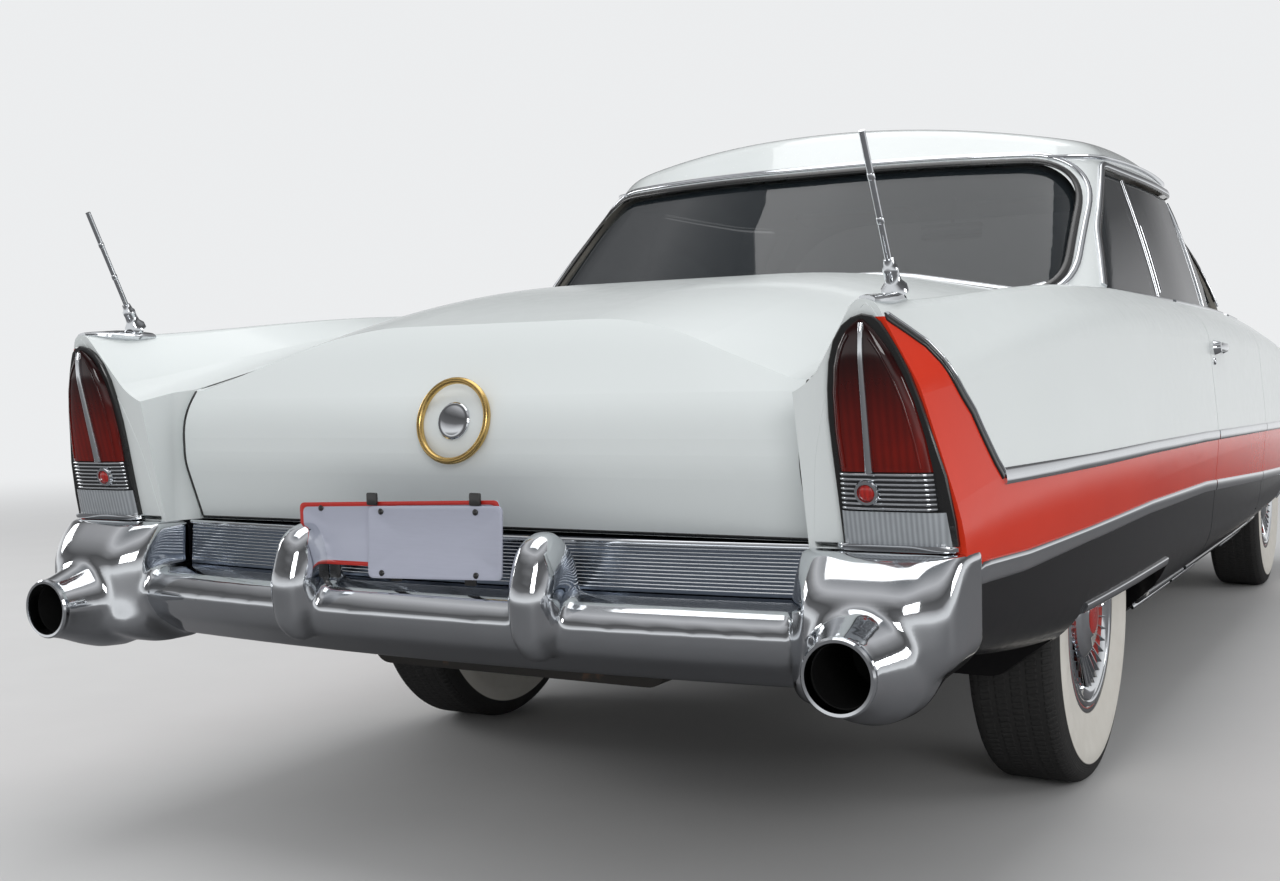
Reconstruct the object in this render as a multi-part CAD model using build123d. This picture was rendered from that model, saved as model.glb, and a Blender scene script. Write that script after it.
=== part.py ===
# A 1950s two-door hardtop with tail fins, built as separate panels, glass, lamps, running gear and cabin.
# Millimetres. The nose faces -Y, +Z is up, +X is the car's left. The origin is on the ground under the
# middle of the overall length.
import os
from math import acos, sin, sqrt, tan

from build123d import *

os.makedirs("parts", exist_ok=True)

# Driving dimensions
overall_length = 5550
rear_overhang = 1395
wheelbase = 3226
front_track = 1524
rear_track = 1547
tyre_diameter = 728
tyre_half = 100
bead_radius = 203         # where the tyre seats on the rim
flange_radius = 212
panel_gap = 5
side_thickness = 188      # outer skin to inner trim of a door or quarter
sheet_drop = 28           # thickness of hood and trunk lid, measured straight down
sheet_back = 26           # and measured along the length
glass_thickness = 6
roof_thickness = 38
fit = 0.3                 # gap between pieces that seat on each other

nose = -overall_length / 2
tail = overall_length / 2
rear_axle_y = tail - rear_overhang
front_axle_y = rear_axle_y - wheelbase
wheel_z = tyre_diameter / 2

# Heights
sill_z = 305
boot_floor_z = 510
boot_floor_low_z = 480
lid_bottom_z = 641
skirt_bottom_z = 436
skirt_top_z = 570

# Places along the length
door_front_y = -632
door_rear_y = 400
cowl_front_y = -1050
firewall_y = -905
well_front_y = 940
cabin_rear_y = 1010
floor_step_y = 1030          # rear face of the heel board behind the rear seat
boot_rear_y = 2440
trunk_front_y = 1450
hood_front_y = -2470

# Places across the width
body_half = 988
cabin_half = body_half - side_thickness
lid_half = 676
hood_half = 655
engine_bay_half = 430
well_inner_half = 588        # between the rear wheel wells
boot_half = 655              # behind them


def turned(points, corner_radii):
    """Closed outline of straight runs joined by tangent arcs, each arc limited by its shorter run."""
    corners = [Vector(*p) for p in points]
    count = len(corners)
    arcs = []
    for i, corner in enumerate(corners):
        before = corners[i - 1] - corner
        after = corners[(i + 1) % count] - corner
        u, v = before.normalized(), after.normalized()
        half = acos(max(-1.0, min(1.0, u.dot(v)))) / 2
        reach = min(corner_radii[i] / tan(half), 0.47 * min(before.length, after.length))
        radius = reach * tan(half)
        inward = (u + v).normalized()
        middle = corner + inward * (radius / sin(half) - radius)
        arcs.append((corner + u * reach, middle, corner + v * reach))
    edges = []
    for i, (start, middle, end) in enumerate(arcs):
        edges.append(ThreePointArc(start, middle, end))
        edges.append(Line(end, arcs[(i + 1) % count][0]))
    return make_face(edges)


def across(y):
    """Plane across the car at y, drawn in (x, z)."""
    return Plane(origin=(0, y, 0), x_dir=(1, 0, 0), z_dir=(0, -1, 0))


def level(z):
    """Level plane at z, drawn in (x, y)."""
    return Plane(origin=(0, 0, z))


side_plane = Plane(origin=(0, 0, 0), x_dir=(0, 1, 0), z_dir=(1, 0, 0))


def side_prism(points, corner_radii, x0, x1):
    """Outline drawn in (y, z), from x0 to x1."""
    face = side_plane * turned(points, corner_radii)
    return Pos(x0, 0, 0) * extrude(face, x1 - x0, dir=(1, 0, 0))


def end_prism(points, corner_radii, y0, y1):
    """Outline drawn in (x, z), from y0 to y1."""
    face = across(y0) * turned(points, corner_radii)
    return extrude(face, y1 - y0, dir=(0, 1, 0))


def plan_prism(points, corner_radii, z0, z1):
    """Outline drawn in (x, y), from z0 to z1."""
    face = level(z0) * turned(points, corner_radii)
    return extrude(face, z1 - z0, dir=(0, 0, 1))


def block(x0, x1, y0, y1, z0, z1):
    return Pos((x0 + x1) / 2, (y0 + y1) / 2, (z0 + z1) / 2) * Box(abs(x1 - x0), abs(y1 - y0), abs(z1 - z0))


def rod(start, end, radius):
    """Round bar from start to end."""
    a, b = Vector(*start), Vector(*end)
    return extrude(Plane(origin=a, z_dir=(b - a)) * Circle(radius), (b - a).length)


def both_sides(shape):
    """The shape with its mirror image on the other side of the car."""
    return [shape, mirror(shape, Plane.YZ)]


def solids_of(shapes):
    found = []
    for shape in shapes if isinstance(shapes, (list, tuple)) else [shapes]:
        found.extend(shape.solids())
    return found


def write(name, shapes):
    """Writes one node, leaving out crumbs that a cut may leave."""
    keep = [s for s in solids_of(shapes) if s.volume > 20]
    export_step(Compound(children=keep) if len(keep) > 1 else keep[0], f"parts/{name}.step")


# Body hull: half sections, from the rocker round the side and over the top
# y; then x, z of rocker, low side, bulge, shoulder, fender top, valley, crown
hull_table = [
    (-2700, 690, 450, 898, 520, 925, 640, 890, 845, 800, 905, 640, 872, 330, 900),
    (-2200, 765, 330, 946, 440, 968, 645, 942, 893, 828, 968, 668, 944, 340, 992),
    (-1500, 805, 285, 959, 420, 981, 670, 956, 955, 860, 1024, 700, 1008, 350, 1065),
    (-700, 805, 272, 961, 410, body_half, 705, 960, 1000, 872, 1068, 722, 1058, 360, 1112),
    (400, 805, 272, 961, 410, body_half, 715, 958, 1020, 872, 1086, 727, 1078, 360, 1138),
    (1300, 800, 275, 957, 420, 984, 715, 950, 1025, 866, 1090, 727, 1072, 360, 1146),
    (2000, 780, 330, 946, 440, 971, 700, 931, 980, 851, 1064, 716, 1000, 350, 1098),
    (2700, 735, 470, 930, 510, 952, 640, 896, 880, 828, 1050, 700, 846, 330, 925),
]
hull_radii = (50, 160, 600, 110, 26, 110, 900)


def hull_section(row):
    right = [(row[i], row[i + 1]) for i in range(1, len(row), 2)]
    left = [(-x, z) for x, z in reversed(right)]
    return across(row[0]) * turned(right + left, hull_radii + hull_radii[::-1])


# Rear end seen from the side: the lid's rear face, and the slanted end of the fins
lid_face_y = 2498
lid_bulge_y = 2545
fin_foot_y = 2575
fin_tip_y = 2662
body_end_y = 2585
nose_face_y = -2560
brow_foot_y = -2560
brow_tip_y = -2668


def make_hull():
    body = loft([hull_section(row) for row in hull_table])
    # Centre: between the fender valleys, with the nose and the tail rounded in side view
    centre = side_prism(
        [(nose_face_y, 200), (nose_face_y, 790), (nose_face_y + 30, 960), (-1900, 1300), (1600, 1300),
         (2400, 1042), (lid_bulge_y, 850), (lid_bulge_y - 2, 760), (lid_face_y, lid_bottom_z),
         (lid_face_y, 200)],
        [5, 90, 60, 50, 50, 900, 190, 120, 20, 5], -720, 720)
    ends = [(lid_half + 4, lid_face_y), (lid_half + 22, lid_face_y + 45), (lid_half + 22, tail + 50),
            (1200, tail + 50), (1200, nose), (650, nose), (650, nose_face_y + 60),
            (lid_half + 4, nose_face_y + 200)]
    sides = plan_prism(ends, [40, 40, 5, 5, 5, 5, 5, 5], 150, 1300)
    outline = side_prism(
        [(brow_foot_y, 200), (brow_foot_y, 640), (brow_tip_y, 880), (brow_tip_y + 20, 1200),
         (fin_tip_y, 1200),
         (fin_tip_y, 1020), (fin_foot_y, lid_bottom_z), (body_end_y, 620), (body_end_y, 200)],
        [5, 60, 30, 5, 5, 5, 10, 5, 5], 640, 1200)
    side = sides & outline
    inside = plan_prism(
        [(-lid_half - 4, 2780), (lid_half + 4, 2780), (lid_half + 4, -2300), (640, nose), (-640, nose),
         (-lid_half - 4, -2300)], [1, 1, 1, 1, 1, 1], 150, 1300)
    return body & ((centre & inside) + side + mirror(side, Plane.YZ))


# Greenhouse: level sections, each with a curved windscreen, wrapped corners and a curved backlight
# z, half width, front middle y, rear middle y
house_table = [
    (930, 888, -1100, 1446),
    (1080, 858, -955, 1300),
    (1260, 812, -785, 1122),
    (1440, 756, -610, 945),
    (1700, 668, -360, 690),
]
front_wrap = 250
rear_wrap = 160
crown_z = 1608
crown_y = 260
crown_across_radius = 2900
crown_along_radius = 4300
rail_radius = 95


def house_section(z, half, front, rear, inset):
    half, front, rear = half - inset, front + 1.3 * inset, rear - 1.35 * inset
    side = [(300, front), (half - 6, front + front_wrap), (half + 2, 100), (half - 28, rear - rear_wrap),
            (300, rear)]
    points = side + [(-x, y) for x, y in reversed(side)]
    bends = [1500, 300, 6000, 260, 1300]
    return level(z) * turned(points, bends + bends[::-1])


def make_house(inset, drop, rounding):
    """Solid greenhouse, inset from the outer skin, with its crown lowered by drop."""
    walls = loft([house_section(*row, inset) for row in house_table])
    top = crown_z - drop
    reach = 900
    across_edge = crown_across_radius - sqrt(crown_across_radius**2 - reach**2)
    profile = make_face([
        ThreePointArc((-reach, top - across_edge), (0, top), (reach, top - across_edge)),
        Line((reach, top - across_edge), (reach, 700)),
        Line((reach, 700), (-reach, 700)),
        Line((-reach, 700), (-reach, top - across_edge)),
    ])
    axis = Axis((0, crown_y, top - crown_along_radius), (1, 0, 0))
    crown = revolve(across(crown_y) * profile, axis, 24)
    crown = crown + revolve(across(crown_y) * profile, axis, -24)
    solid = walls & crown
    if rounding:
        rim = [e for e in solid.edges() if e.bounding_box().min.Z > 1360 and e.bounding_box().max.Z > 1410]
        rim = [e for e in rim if e.bounding_box().size.Z < 75]
        solid = fillet(rim, rounding)
    return solid


hull = make_hull()
house = make_house(0, 0, rail_radius)
house_inner = make_house(roof_thickness, roof_thickness, rail_radius - roof_thickness)
hull_low = Pos(0, -sheet_back, -sheet_drop) * hull          # underside of lid and deck
hood_low = Pos(0, sheet_back, -sheet_drop) * hull           # underside of hood and nose


# Doors: a slab of the hull side, hung on its front edge and cut by a cylinder about the hinge behind
door_hinge_x = 991
door_hinge_y = door_front_y - panel_gap / 2
door_reach = door_rear_y - door_hinge_y
dogleg_low_z, dogleg_high_z, dogleg_back = 960, 1092, 120


def door_shape(grow):
    """Everything inside the left door's outline; grow gives the opening it stands in."""
    front = door_front_y - grow
    outline = side_prism(
        [(front, sill_z - grow), (1100, sill_z - grow), (1100, 1200), (front + dogleg_back, 1200),
         (front + dogleg_back, dogleg_high_z), (front, dogleg_low_z)],
        [20, 1, 1, 1, 40, 40], cabin_half, 1200)
    swing = Pos(door_hinge_x, door_hinge_y, 100) * Cylinder(
        door_reach + grow, 1200, align=(Align.CENTER, Align.CENTER, Align.MIN))
    return outline & swing


door_solid = door_shape(0)
door_opening = door_shape(panel_gap)

cabin_void = (block(-cabin_half, cabin_half, firewall_y, well_front_y, 300, 1300)
              + block(-well_inner_half, well_inner_half, well_front_y - 1, cabin_rear_y, 300, 1300))
door_left = (hull & door_solid) - cabin_void
door_openings = both_sides(door_opening)

# Trunk lid and hood: sheets of the hull, each hung on its top edge beside the windows
lid_outline = [(-lid_half, trunk_front_y), (-lid_half, 2800), (lid_half, 2800), (lid_half, trunk_front_y)]
hood_rear_y = cowl_front_y - panel_gap
hood_outline = [(-hood_half, hood_rear_y), (-hood_half + 40, hood_front_y), (hood_half - 40, hood_front_y),
                (hood_half, hood_rear_y)]


def grown(points, gap):
    """Outline moved outward by the gap, for a four-cornered outline symmetric about x = 0."""
    middle = sum(p[1] for p in points) / len(points)
    return [(x + (gap if x > 0 else -gap), y + (gap if y > middle else -gap)) for x, y in points]


def lid_shape(gap):
    return plan_prism(grown(lid_outline, gap), [70, 1, 1, 70], lid_bottom_z - gap, 1300)


def hood_shape(gap):
    return plan_prism(grown(hood_outline, gap), [60, 90, 90, 60], 700, 1300)


trunk_lid = (hull & lid_shape(0)) - hull_low
hood = (hull & hood_shape(0)) - hood_low
lid_opening = lid_shape(panel_gap)
hood_opening = hood_shape(panel_gap)

# Hinge pieces that stand in the gaps, a running gap short of the panel they carry
hinge_skin = Pos(0, 0, -10) * hull
hinge_places = (-420, 420)
hood_hinges = [hinge_skin & block(x - 20, x + 20, hood_rear_y + fit, cowl_front_y + 1, 940, 1300)
               for x in hinge_places]
lid_hinges = [hinge_skin & block(x - 20, x + 20, trunk_front_y - panel_gap - 1, trunk_front_y - fit,
                                 1080, 1300) for x in hinge_places]
door_hinges = [block(885, 955, door_front_y - panel_gap - 1, door_front_y - fit, z, z + 70)
               for z in (420, 740)]

# Voids inside the body
bay = (block(-engine_bay_half, engine_bay_half, -2440, firewall_y - 45, 100, 1200)
       + block(-600, 600, -2420, firewall_y - 45, 810, 1200))
trunk = (block(-well_inner_half, well_inner_half, floor_step_y + 10, 1880, boot_floor_z, 1300)
         + block(-boot_half, boot_half, 1870, boot_rear_y, boot_floor_z, 1300))
under_rear = (block(-605, 605, floor_step_y, 1862, 100, boot_floor_low_z)
              + block(-well_inner_half, well_inner_half, 1860, lid_face_y, 100, boot_floor_low_z)
              + block(-895, 895, 1862, lid_face_y, 100, 470))


def wheel_well(y, radius, inner, outer):
    return Pos((inner + outer) / 2, y, wheel_z) * Rot(0, 90, 0) * Cylinder(radius, outer - inner)


front_wells = both_sides(wheel_well(front_axle_y, 430, 440, 1100))
rear_wells = both_sides(wheel_well(rear_axle_y, 410, 600, 928))
skirt_opening = side_prism(
    [(995, 100), (1030, skirt_top_z), (1805, skirt_top_z), (1865, 100)], [1, 70, 110, 1], 700, 1100)
skirt_openings = both_sides(skirt_opening)

tunnel_void = block(-115, 115, -960, 1040, 100, 415)
shaft_tunnel = block(-140, 140, firewall_y, 1000, 290, 440) - tunnel_void

# Ways through the tail for the exhaust, and the grille mouth and headlamp sockets in the nose
port_x, port_z, port_radius = 821, 485, 82
port_ways = both_sides(Pos(port_x, 2480, port_z) * Rot(-90, 0, 0) * Cylinder(
    port_radius - 14, 400, align=(Align.CENTER, Align.CENTER, Align.MIN)))
mouth = end_prism([(-600, 450), (-560, 775), (560, 775), (600, 450)], [60, 80, 80, 60], -2900, -2470)
headlamp_x, headlamp_z, headlamp_radius = 795, 765, 92
lamp_sockets = both_sides(
    Pos(headlamp_x, -2700, headlamp_z) * Rot(90, 0, 0) * Cylinder(headlamp_radius + 10, 230))

# Tail lamps: a pointed arch that leans back with the end of the fin
lamp_low_z, lamp_tip_z = 645, 1010
lamp_splits = (661, 709, 770)             # base ring, clear lamp, ribbed band, red lens above
lean = (fin_tip_y - fin_foot_y) / (1020 - lid_bottom_z)


def arch(grow):
    """Pointed arch drawn in (x, z), as a prism along the car."""
    right = [(933 + grow, lamp_low_z - grow), (888 + grow, 872), (852 + grow * 1.1, 960)]
    left = [(803 - grow * 1.1, 962), (757 - grow, 872), (732 - grow, 780), (716 - grow, lamp_low_z - grow)]
    points = right + [(829, lamp_tip_z + grow)] + left
    return end_prism(points, [14, 300, 300, 10, 300, 300, 300, 14], 2400, 2790)


def leaning_slab(back, out):
    """Space between two planes parallel to the slanted end of the fin."""
    y0 = fin_foot_y - lean * (lid_bottom_z - 400)
    y1 = fin_foot_y + lean * (1100 - lid_bottom_z)
    return side_prism([(y0 - back, 400), (y0 + out, 400), (y1 + out, 1100), (y1 - back, 1100)],
                      [1, 1, 1, 1], 600, 1000)


lamp_solid = arch(0) & leaning_slab(55, 16)
lamp_solid = lamp_solid.solids()[0]
outer_face = lamp_solid.faces().sort_by(Axis((0, 0, 0), (0, 1, -lean)))[-1]
lamp_solid = fillet(outer_face.edges(), 11)
over_bumper = block(600, 1000, 2400, 2800, 643.5, 1100)
bezel = (arch(9) - arch(0)) & leaning_slab(30, 9) & over_bumper
lamp_pockets = both_sides(arch(9) & leaning_slab(30, 60) & over_bumper) + both_sides(
    arch(0) & leaning_slab(55, 60) & over_bumper)


def lamp_layer(z0, z1):
    return lamp_solid & block(600, 1000, 2400, 2800, z0, z1)


base_z, clear_z, band_z = lamp_splits
tail_lamps = both_sides(lamp_layer(band_z, 1100))
reversing_lamps = both_sides(lamp_layer(base_z, clear_z))
housings = both_sides(bezel + lamp_layer(600, base_z) + lamp_layer(clear_z, band_z))

# Greenhouse openings, drawn from the side, and the backlight drawn from behind
screen_opening = side_prism(
    [(-1250, 1035), (-603, 1035), (-600, 1045), (-442, 1452), (-1250, 1452)], [1, 1, 1, 60, 1], -1000, 1000)
side_opening = side_prism(
    [(-563, 1020), (-392, 1440), (640, 1436), (875, 1250), (1075, 1020)], [1, 40, 60, 400, 1], -1000, 1000)
back_opening = end_prism(
    [(-742, 1092), (-708, 1442), (708, 1442), (742, 1092)], [80, 150, 150, 80], 640, 1500)
shell = house - house_inner
roof = shell - hull - screen_opening - side_opening - back_opening
glass_zone = make_house(14, 14, 0) - make_house(14 + glass_thickness, 14 + glass_thickness, 0) - hull
windshield = glass_zone & screen_opening
rear_window = glass_zone & back_opening
hinge_post = Pos(door_hinge_x, door_hinge_y, 950)
split = hinge_post * Cylinder(door_reach + 1, 600, align=(Align.CENTER, Align.CENTER, Align.MIN))
split_wide = hinge_post * Cylinder(door_reach + 9, 600, align=(Align.CENTER, Align.CENTER, Align.MIN))
left_half = block(300, 1100, -700, 1200, 960, 1600)
glass_frame = side_prism(
    [(-553, 1010), (-378, 1427), (1100, 1427), (1100, 1010)], [1, 36, 1, 1], 300, 1000)
door_glass_left = glass_zone & split & glass_frame & left_half
quarter_glass = (glass_zone & side_opening & left_half) - split_wide
quarter_windows = both_sides(quarter_glass)

# Body panels of the shared hull
fender_zone = (block(-1100, 1100, -3000, firewall_y - 45, 0, 905)
               + block(-1100, 1100, -3000, cowl_front_y, 900, 1400)
               + block(-1100, -cabin_half, -3000, 0, 0, 1400) + block(cabin_half, 1100, -3000, 0, 0, 1400))
front_fenders = (hull & fender_zone) - door_openings - bay - front_wells - hood_opening
front_fenders = front_fenders - mouth - lamp_sockets
for piece in door_hinges:
    front_fenders = front_fenders + both_sides(piece)[0] + both_sides(piece)[1]
cowl_space = (block(-cabin_half, cabin_half, firewall_y - 45, firewall_y, 100, 905)
              + block(-cabin_half, cabin_half, cowl_front_y, firewall_y, 905, 1300))
cowl = ((hull & cowl_space) - tunnel_void) + hood_hinges[0] + hood_hinges[1]
rail_side = [(-2520, 395), (-2200, 395), (-2080, 276), (1000, 276), (1190, 474), (2505, 474), (2505, 417),
             (1225, 417), (1000, 175), (-2080, 175), (-2230, 330), (-2520, 330)]
rails = both_sides(side_prism(rail_side, [1, 60, 60, 60, 60, 1, 1, 60, 60, 60, 60, 1], 350, 420))
floor_plates = (block(-cabin_half, cabin_half, firewall_y, 1000, 100, 300)
                + (block(-well_inner_half, well_inner_half, 1000, floor_step_y, 200, boot_floor_z)
                   - rails[0] - rails[1])
                + block(-well_inner_half, well_inner_half, floor_step_y, boot_rear_y, boot_floor_low_z,
                        boot_floor_z))
floor_pan = ((hull & floor_plates) + shaft_tunnel) - tunnel_void
rear_space = (block(-1100, 1100, 0, 2900, 0, 1400) - cabin_void
              - block(-cabin_half, cabin_half, -100, 1000, 0, 301)
              - block(-well_inner_half, well_inner_half, 990, floor_step_y + 10, 0, boot_floor_z)
              - block(-well_inner_half, well_inner_half, floor_step_y, boot_rear_y, 400, boot_floor_z))
trunk_space = trunk & hull_low
rear_body = (hull & rear_space) - door_openings - trunk_space - under_rear - rear_wells
rear_body = rear_body - skirt_openings - lid_opening - lamp_pockets - port_ways
rear_body = rear_body + lid_hinges[0] + lid_hinges[1]
skirts_solid = (hull & skirt_opening & block(928, 1100, 900, 1900, skirt_bottom_z, skirt_top_z))
fender_skirts = both_sides(skirts_solid)

# Rear bumper: a rolled blade bowed in plan, an end block with a port under each lamp, and two guards
blade_bow = 5140
blade_back_y = 2692
blade_profile = [(2512, 552), (2625, 552), (2668, 543), (blade_back_y, 505), (2670, 462), (2600, 414),
                 (2512, 414)]


def bowed(profile, bends, bow, edge_y, half_angle):
    """Profile drawn in (y, z) at x = 0, swung about an upright axis ahead of or behind edge_y."""
    face = side_plane * turned(profile, bends)
    axis = Axis((0, edge_y - bow, 0), (0, 0, 1))
    return revolve(face, axis, half_angle) + revolve(face, axis, -half_angle)


blade = bowed(blade_profile, [1, 20, 40, 60, 60, 30, 1], blade_bow, blade_back_y, 7.75)
block_plan = [(686, 2505), (690, 2640), (742, 2690), (890, 2690), (946, 2645), (952, 2588), (900, 2588),
              (896, 2505)]
block_side = [(2400, 430), (2400, 640), (2600, 640), (2700, 600), (2705, 430)]
end_block = plan_prism(block_plan, [1, 40, 60, 70, 50, 4, 4, 1], 424, 643)
end_block = end_block & side_prism(block_side, [1, 1, 40, 90, 40], 600, 1000)
port = Pos(port_x, 2560, port_z) * Rot(-90, 0, 0) * Cone(
    port_radius + 44, port_radius, tail - 2560, align=(Align.CENTER, Align.CENTER, Align.MIN))
guard_side = [(2575, 548), (2590, 622), (2640, 668), (2700, 650), (2732, 560), (2722, 480), (2680, 440),
              (2610, 470)]
guards = []
guard_half = 44
for guard_x in (-257, 257):
    guard = side_prism(guard_side, [5, 60, 40, 60, 90, 60, 40, 10],
                       guard_x - guard_half, guard_x + guard_half)
    guard_sides = guard.faces().filter_by(Axis.X)
    guards.append(fillet(guard_sides.edges(), 24))
rear_bumper = blade
for piece in both_sides(end_block + port) + guards:
    rear_bumper = rear_bumper + piece
rear_bumper = rear_bumper - port_ways - hull

# Ribbed insert between the end blocks, and the plate in front of it
insert_profile = [(2512, 553), (2572, 553), (2566, 636), (2512, 636)]
rear_grille = bowed(insert_profile, [1, 1, 6, 1], blade_bow, 2572, 7.6) - hull - rear_bumper
rear_grille = rear_grille - block(-1200, 1200, 2400, 2900, 100, 552.9)
plates = [block(-150, 150, 2650, 2653, 556, 704) + block(-20, 20, 2560, 2650, 590, 610),
          block(0, 298, 2641, 2644, 598, 702) + block(180, 200, 2560, 2641, 606, 630)]
licence_plate = [p - rear_grille - rear_bumper for p in plates]

# Front bumper with its two bullets, and the latticed grille
front_blade_profile = [(-2570, 420), (-2570, 540), (-2660, 546), (-2700, 500), (-2690, 430), (-2620, 404)]
front_axis = Axis((0, -2700 + 3300, 0), (0, 0, 1))
front_face = side_plane * turned(front_blade_profile, [1, 1, 40, 60, 50, 30])
front_blade = revolve(front_face, front_axis, 14.5) + revolve(front_face, front_axis, -14.5)
wing = plan_prism([(790, -2500), (790, -2630), (860, -2604), (945, -2500), (968, -2330), (955, -2330),
                   (900, -2500)],
                  [1, 1, 60, 60, 1, 1, 40], 412, 540)
bullets = []
for bullet_x in (-400, 400):
    cone = Pos(bullet_x, -2600, 520) * Rot(90, 0, 0) * Cone(
        88, 44, 131, align=(Align.CENTER, Align.CENTER, Align.MIN))
    dome = Pos(bullet_x, nose + 44, 520) * Sphere(44)
    bullets.append(cone + (dome & block(-900, 900, -2900, nose + 45, 0, 900)) + block(
        bullet_x - 50, bullet_x + 50, -2640, -2560, 450, 540))
front_bumper = front_blade
for piece in both_sides(wing) + bullets:
    front_bumper = front_bumper + piece
front_bumper = front_bumper - hull
bars = [block(-640, 640, -2512, -2496, z, z + 7) for z in range(490, 770, 34)]
posts = [block(x - 3, x + 3, -2514, -2494, 400, 800) for x in range(-570, 571, 57)]
lattice = bars[0]
for piece in bars[1:] + posts:
    lattice = lattice + piece
mouth_inner = end_prism([(-600, 450), (-560, 775), (560, 775), (600, 450)], [60, 80, 80, 60], -2520, -2471)
front_grille = (lattice & mouth_inner) - front_bumper
headlamps = both_sides(
    Pos(headlamp_x, -2585, headlamp_z) * Rot(90, 0, 0) * Cylinder(
        headlamp_radius, 95, align=(Align.CENTER, Align.CENTER, Align.MIN))
    & (Pos(headlamp_x, -2440, headlamp_z) * Sphere(195)))

# Frame, engine, driveline and tank
# y, z low, z high of each cross member
cross_members = [(-2480, 330, 395), (front_axle_y, 175, 235), (-700, 178, 236), (250, 178, 236),
                 (820, 178, 236), (1900, 418, 474), (2470, 418, 474)]
frame = rails[0] + rails[1]
for y, low, high in cross_members:
    frame = frame + block(-352, 352, y - 30, y + 30, low, high)
for x in (-300, 300):
    frame = frame + block(x - 52, x + 52, -1846 - 40, -1846 + 40, 200, 330)
frame = frame - floor_pan - rear_body - front_fenders - rear_bumper - front_bumper - cowl

engine_block = block(-252, 252, -2150, -1350, 330, 830)
engine_block = fillet(engine_block.edges().filter_by(Axis.Y), 60)
gearbox = Pos(0, -1352, 345) * Rot(-90, 0, 0) * Cone(
    150, 85, 380, align=(Align.CENTER, Align.CENTER, Align.MIN))
engine_block = engine_block + gearbox - frame


def pipe(points, radius):
    """Round pipe through the points, with a ball at each bend."""
    solid = rod(points[0], points[1], radius)
    for a, b in zip(points[1:], points[2:]):
        solid = solid + Pos(*a) * Sphere(radius) + rod(a, b, radius)
    return solid


pipe_path = [(230, -1500, 350), (255, -1290, 222), (255, 1045, 222), (255, 1195, 447), (255, 1560, 447),
             (560, 1700, 375), (640, 2300, 400), (port_x, 2500, port_z), (port_x, 2600, port_z)]
silencer = rod((255, -100, 222), (255, 760, 222), 62)
left_pipe = pipe(pipe_path, 24) + silencer
exhaust_system = [p - frame - floor_pan - rear_body - engine_block for p in both_sides(left_pipe)]

fuel_tank = block(-335, 335, 1760, 2380, 350, boot_floor_low_z - 1)
fuel_tank = fillet(fuel_tank.edges().filter_by(Axis.Y), 40) - frame - floor_pan

hub_face = 26             # inner face of a wheel's dish, outboard of the tyre's middle
axle_half = rear_track / 2 + hub_face - fit
axle_tube = rod((-axle_half, rear_axle_y, wheel_z), (axle_half, rear_axle_y, wheel_z), 38)
axle_case = Pos(0, rear_axle_y, wheel_z) * Sphere(112)
drive_tube = rod((0, -968, 345), (0, rear_axle_y, wheel_z), 30)
perches = [block(x - 35, x + 35, rear_axle_y - 40, rear_axle_y + 40, wheel_z, 430) for x in (-385, 385)]
rear_axle = axle_tube + axle_case + drive_tube + perches[0] + perches[1] - frame - engine_block

# Front suspension arms, and the knuckles that turn about their kingpins
kingpin_x = 690
lower_arm_z, upper_arm_z, arm_thickness = 232, 470, 24
arms = []
for z, root in ((lower_arm_z, 412), (upper_arm_z, 434)):
    arm = plan_prism(
        [(root, front_axle_y - 150), (root, front_axle_y + 150), (kingpin_x + 16, front_axle_y + 26),
         (kingpin_x + 16, front_axle_y - 26)], [1, 1, 22, 22], z, z + arm_thickness)
    arms.extend(both_sides(arm))
front_suspension = [a - frame - front_fenders for a in arms]
knuckle_low, knuckle_high = lower_arm_z + arm_thickness + fit, upper_arm_z - fit
knuckle = block(664, 712, front_axle_y - 30, front_axle_y + 30, knuckle_low, knuckle_high)
spindle_end = front_track / 2 + hub_face - fit
knuckle = knuckle + rod((700, front_axle_y, wheel_z), (spindle_end, front_axle_y, wheel_z), 24)

# Cabin
seat_half = 690


def bench(front, back, base_z, cushion_z, back_low_y, back_high_y, back_z, half):
    """Bench seat: a cushion and a leaning back, joined."""
    cushion = side_prism([(front, base_z), (front, cushion_z - 10), (back, cushion_z - 30), (back, base_z)],
                         [20, 60, 1, 20], -half, half)
    rest = side_prism([(back_low_y, base_z + 30), (back_low_y + 20, cushion_z), (back_high_y, back_z),
                       (back_high_y + 115, back_z), (back, cushion_z - 60), (back, base_z + 30)],
                      [10, 10, 50, 55, 30, 10], -half, half)
    return cushion + rest


tunnel_all = block(-140, 140, -1000, 1100, 200, 440)
front_seat = bench(-200, 390, 300, 600, 270, 300, 1055, seat_half) - tunnel_all
rear_seat = bench(560, cabin_rear_y, 300, 590, 880, 902, 1035, seat_half) - tunnel_all
rear_seat = rear_seat - rear_body - floor_pan
dash_front_y = firewall_y + 1
dash_side = [(dash_front_y, 1045), (-760, 1056), (-715, 1015), (-745, 900), (-720, 700), (-790, 660),
             (dash_front_y, 660)]
dash_slab = side_prism(dash_side, [1, 30, 40, 60, 30, 30, 1], -cabin_half + fit, cabin_half - fit)
glass_clearance = 8
under_glass = make_house(roof_thickness + glass_clearance, roof_thickness + glass_clearance, 0)
dash_room = block(-cabin_half, cabin_half, firewall_y, 0, 600, 1002) + (
    under_glass & block(-900, 900, -1200, 0, 1001, 1200))
dashboard = ((dash_slab - hull) + (dash_slab & cabin_void)) & dash_room
column_top = Vector(370, -352, 858)
column_way = Vector(0, 520, 220).normalized()
column = rod(tuple(column_top - column_way * 480), tuple(column_top + column_way * (7 - fit)), 26)
dashboard = dashboard + column
wheel_middle = column_top + column_way * 40
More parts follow.
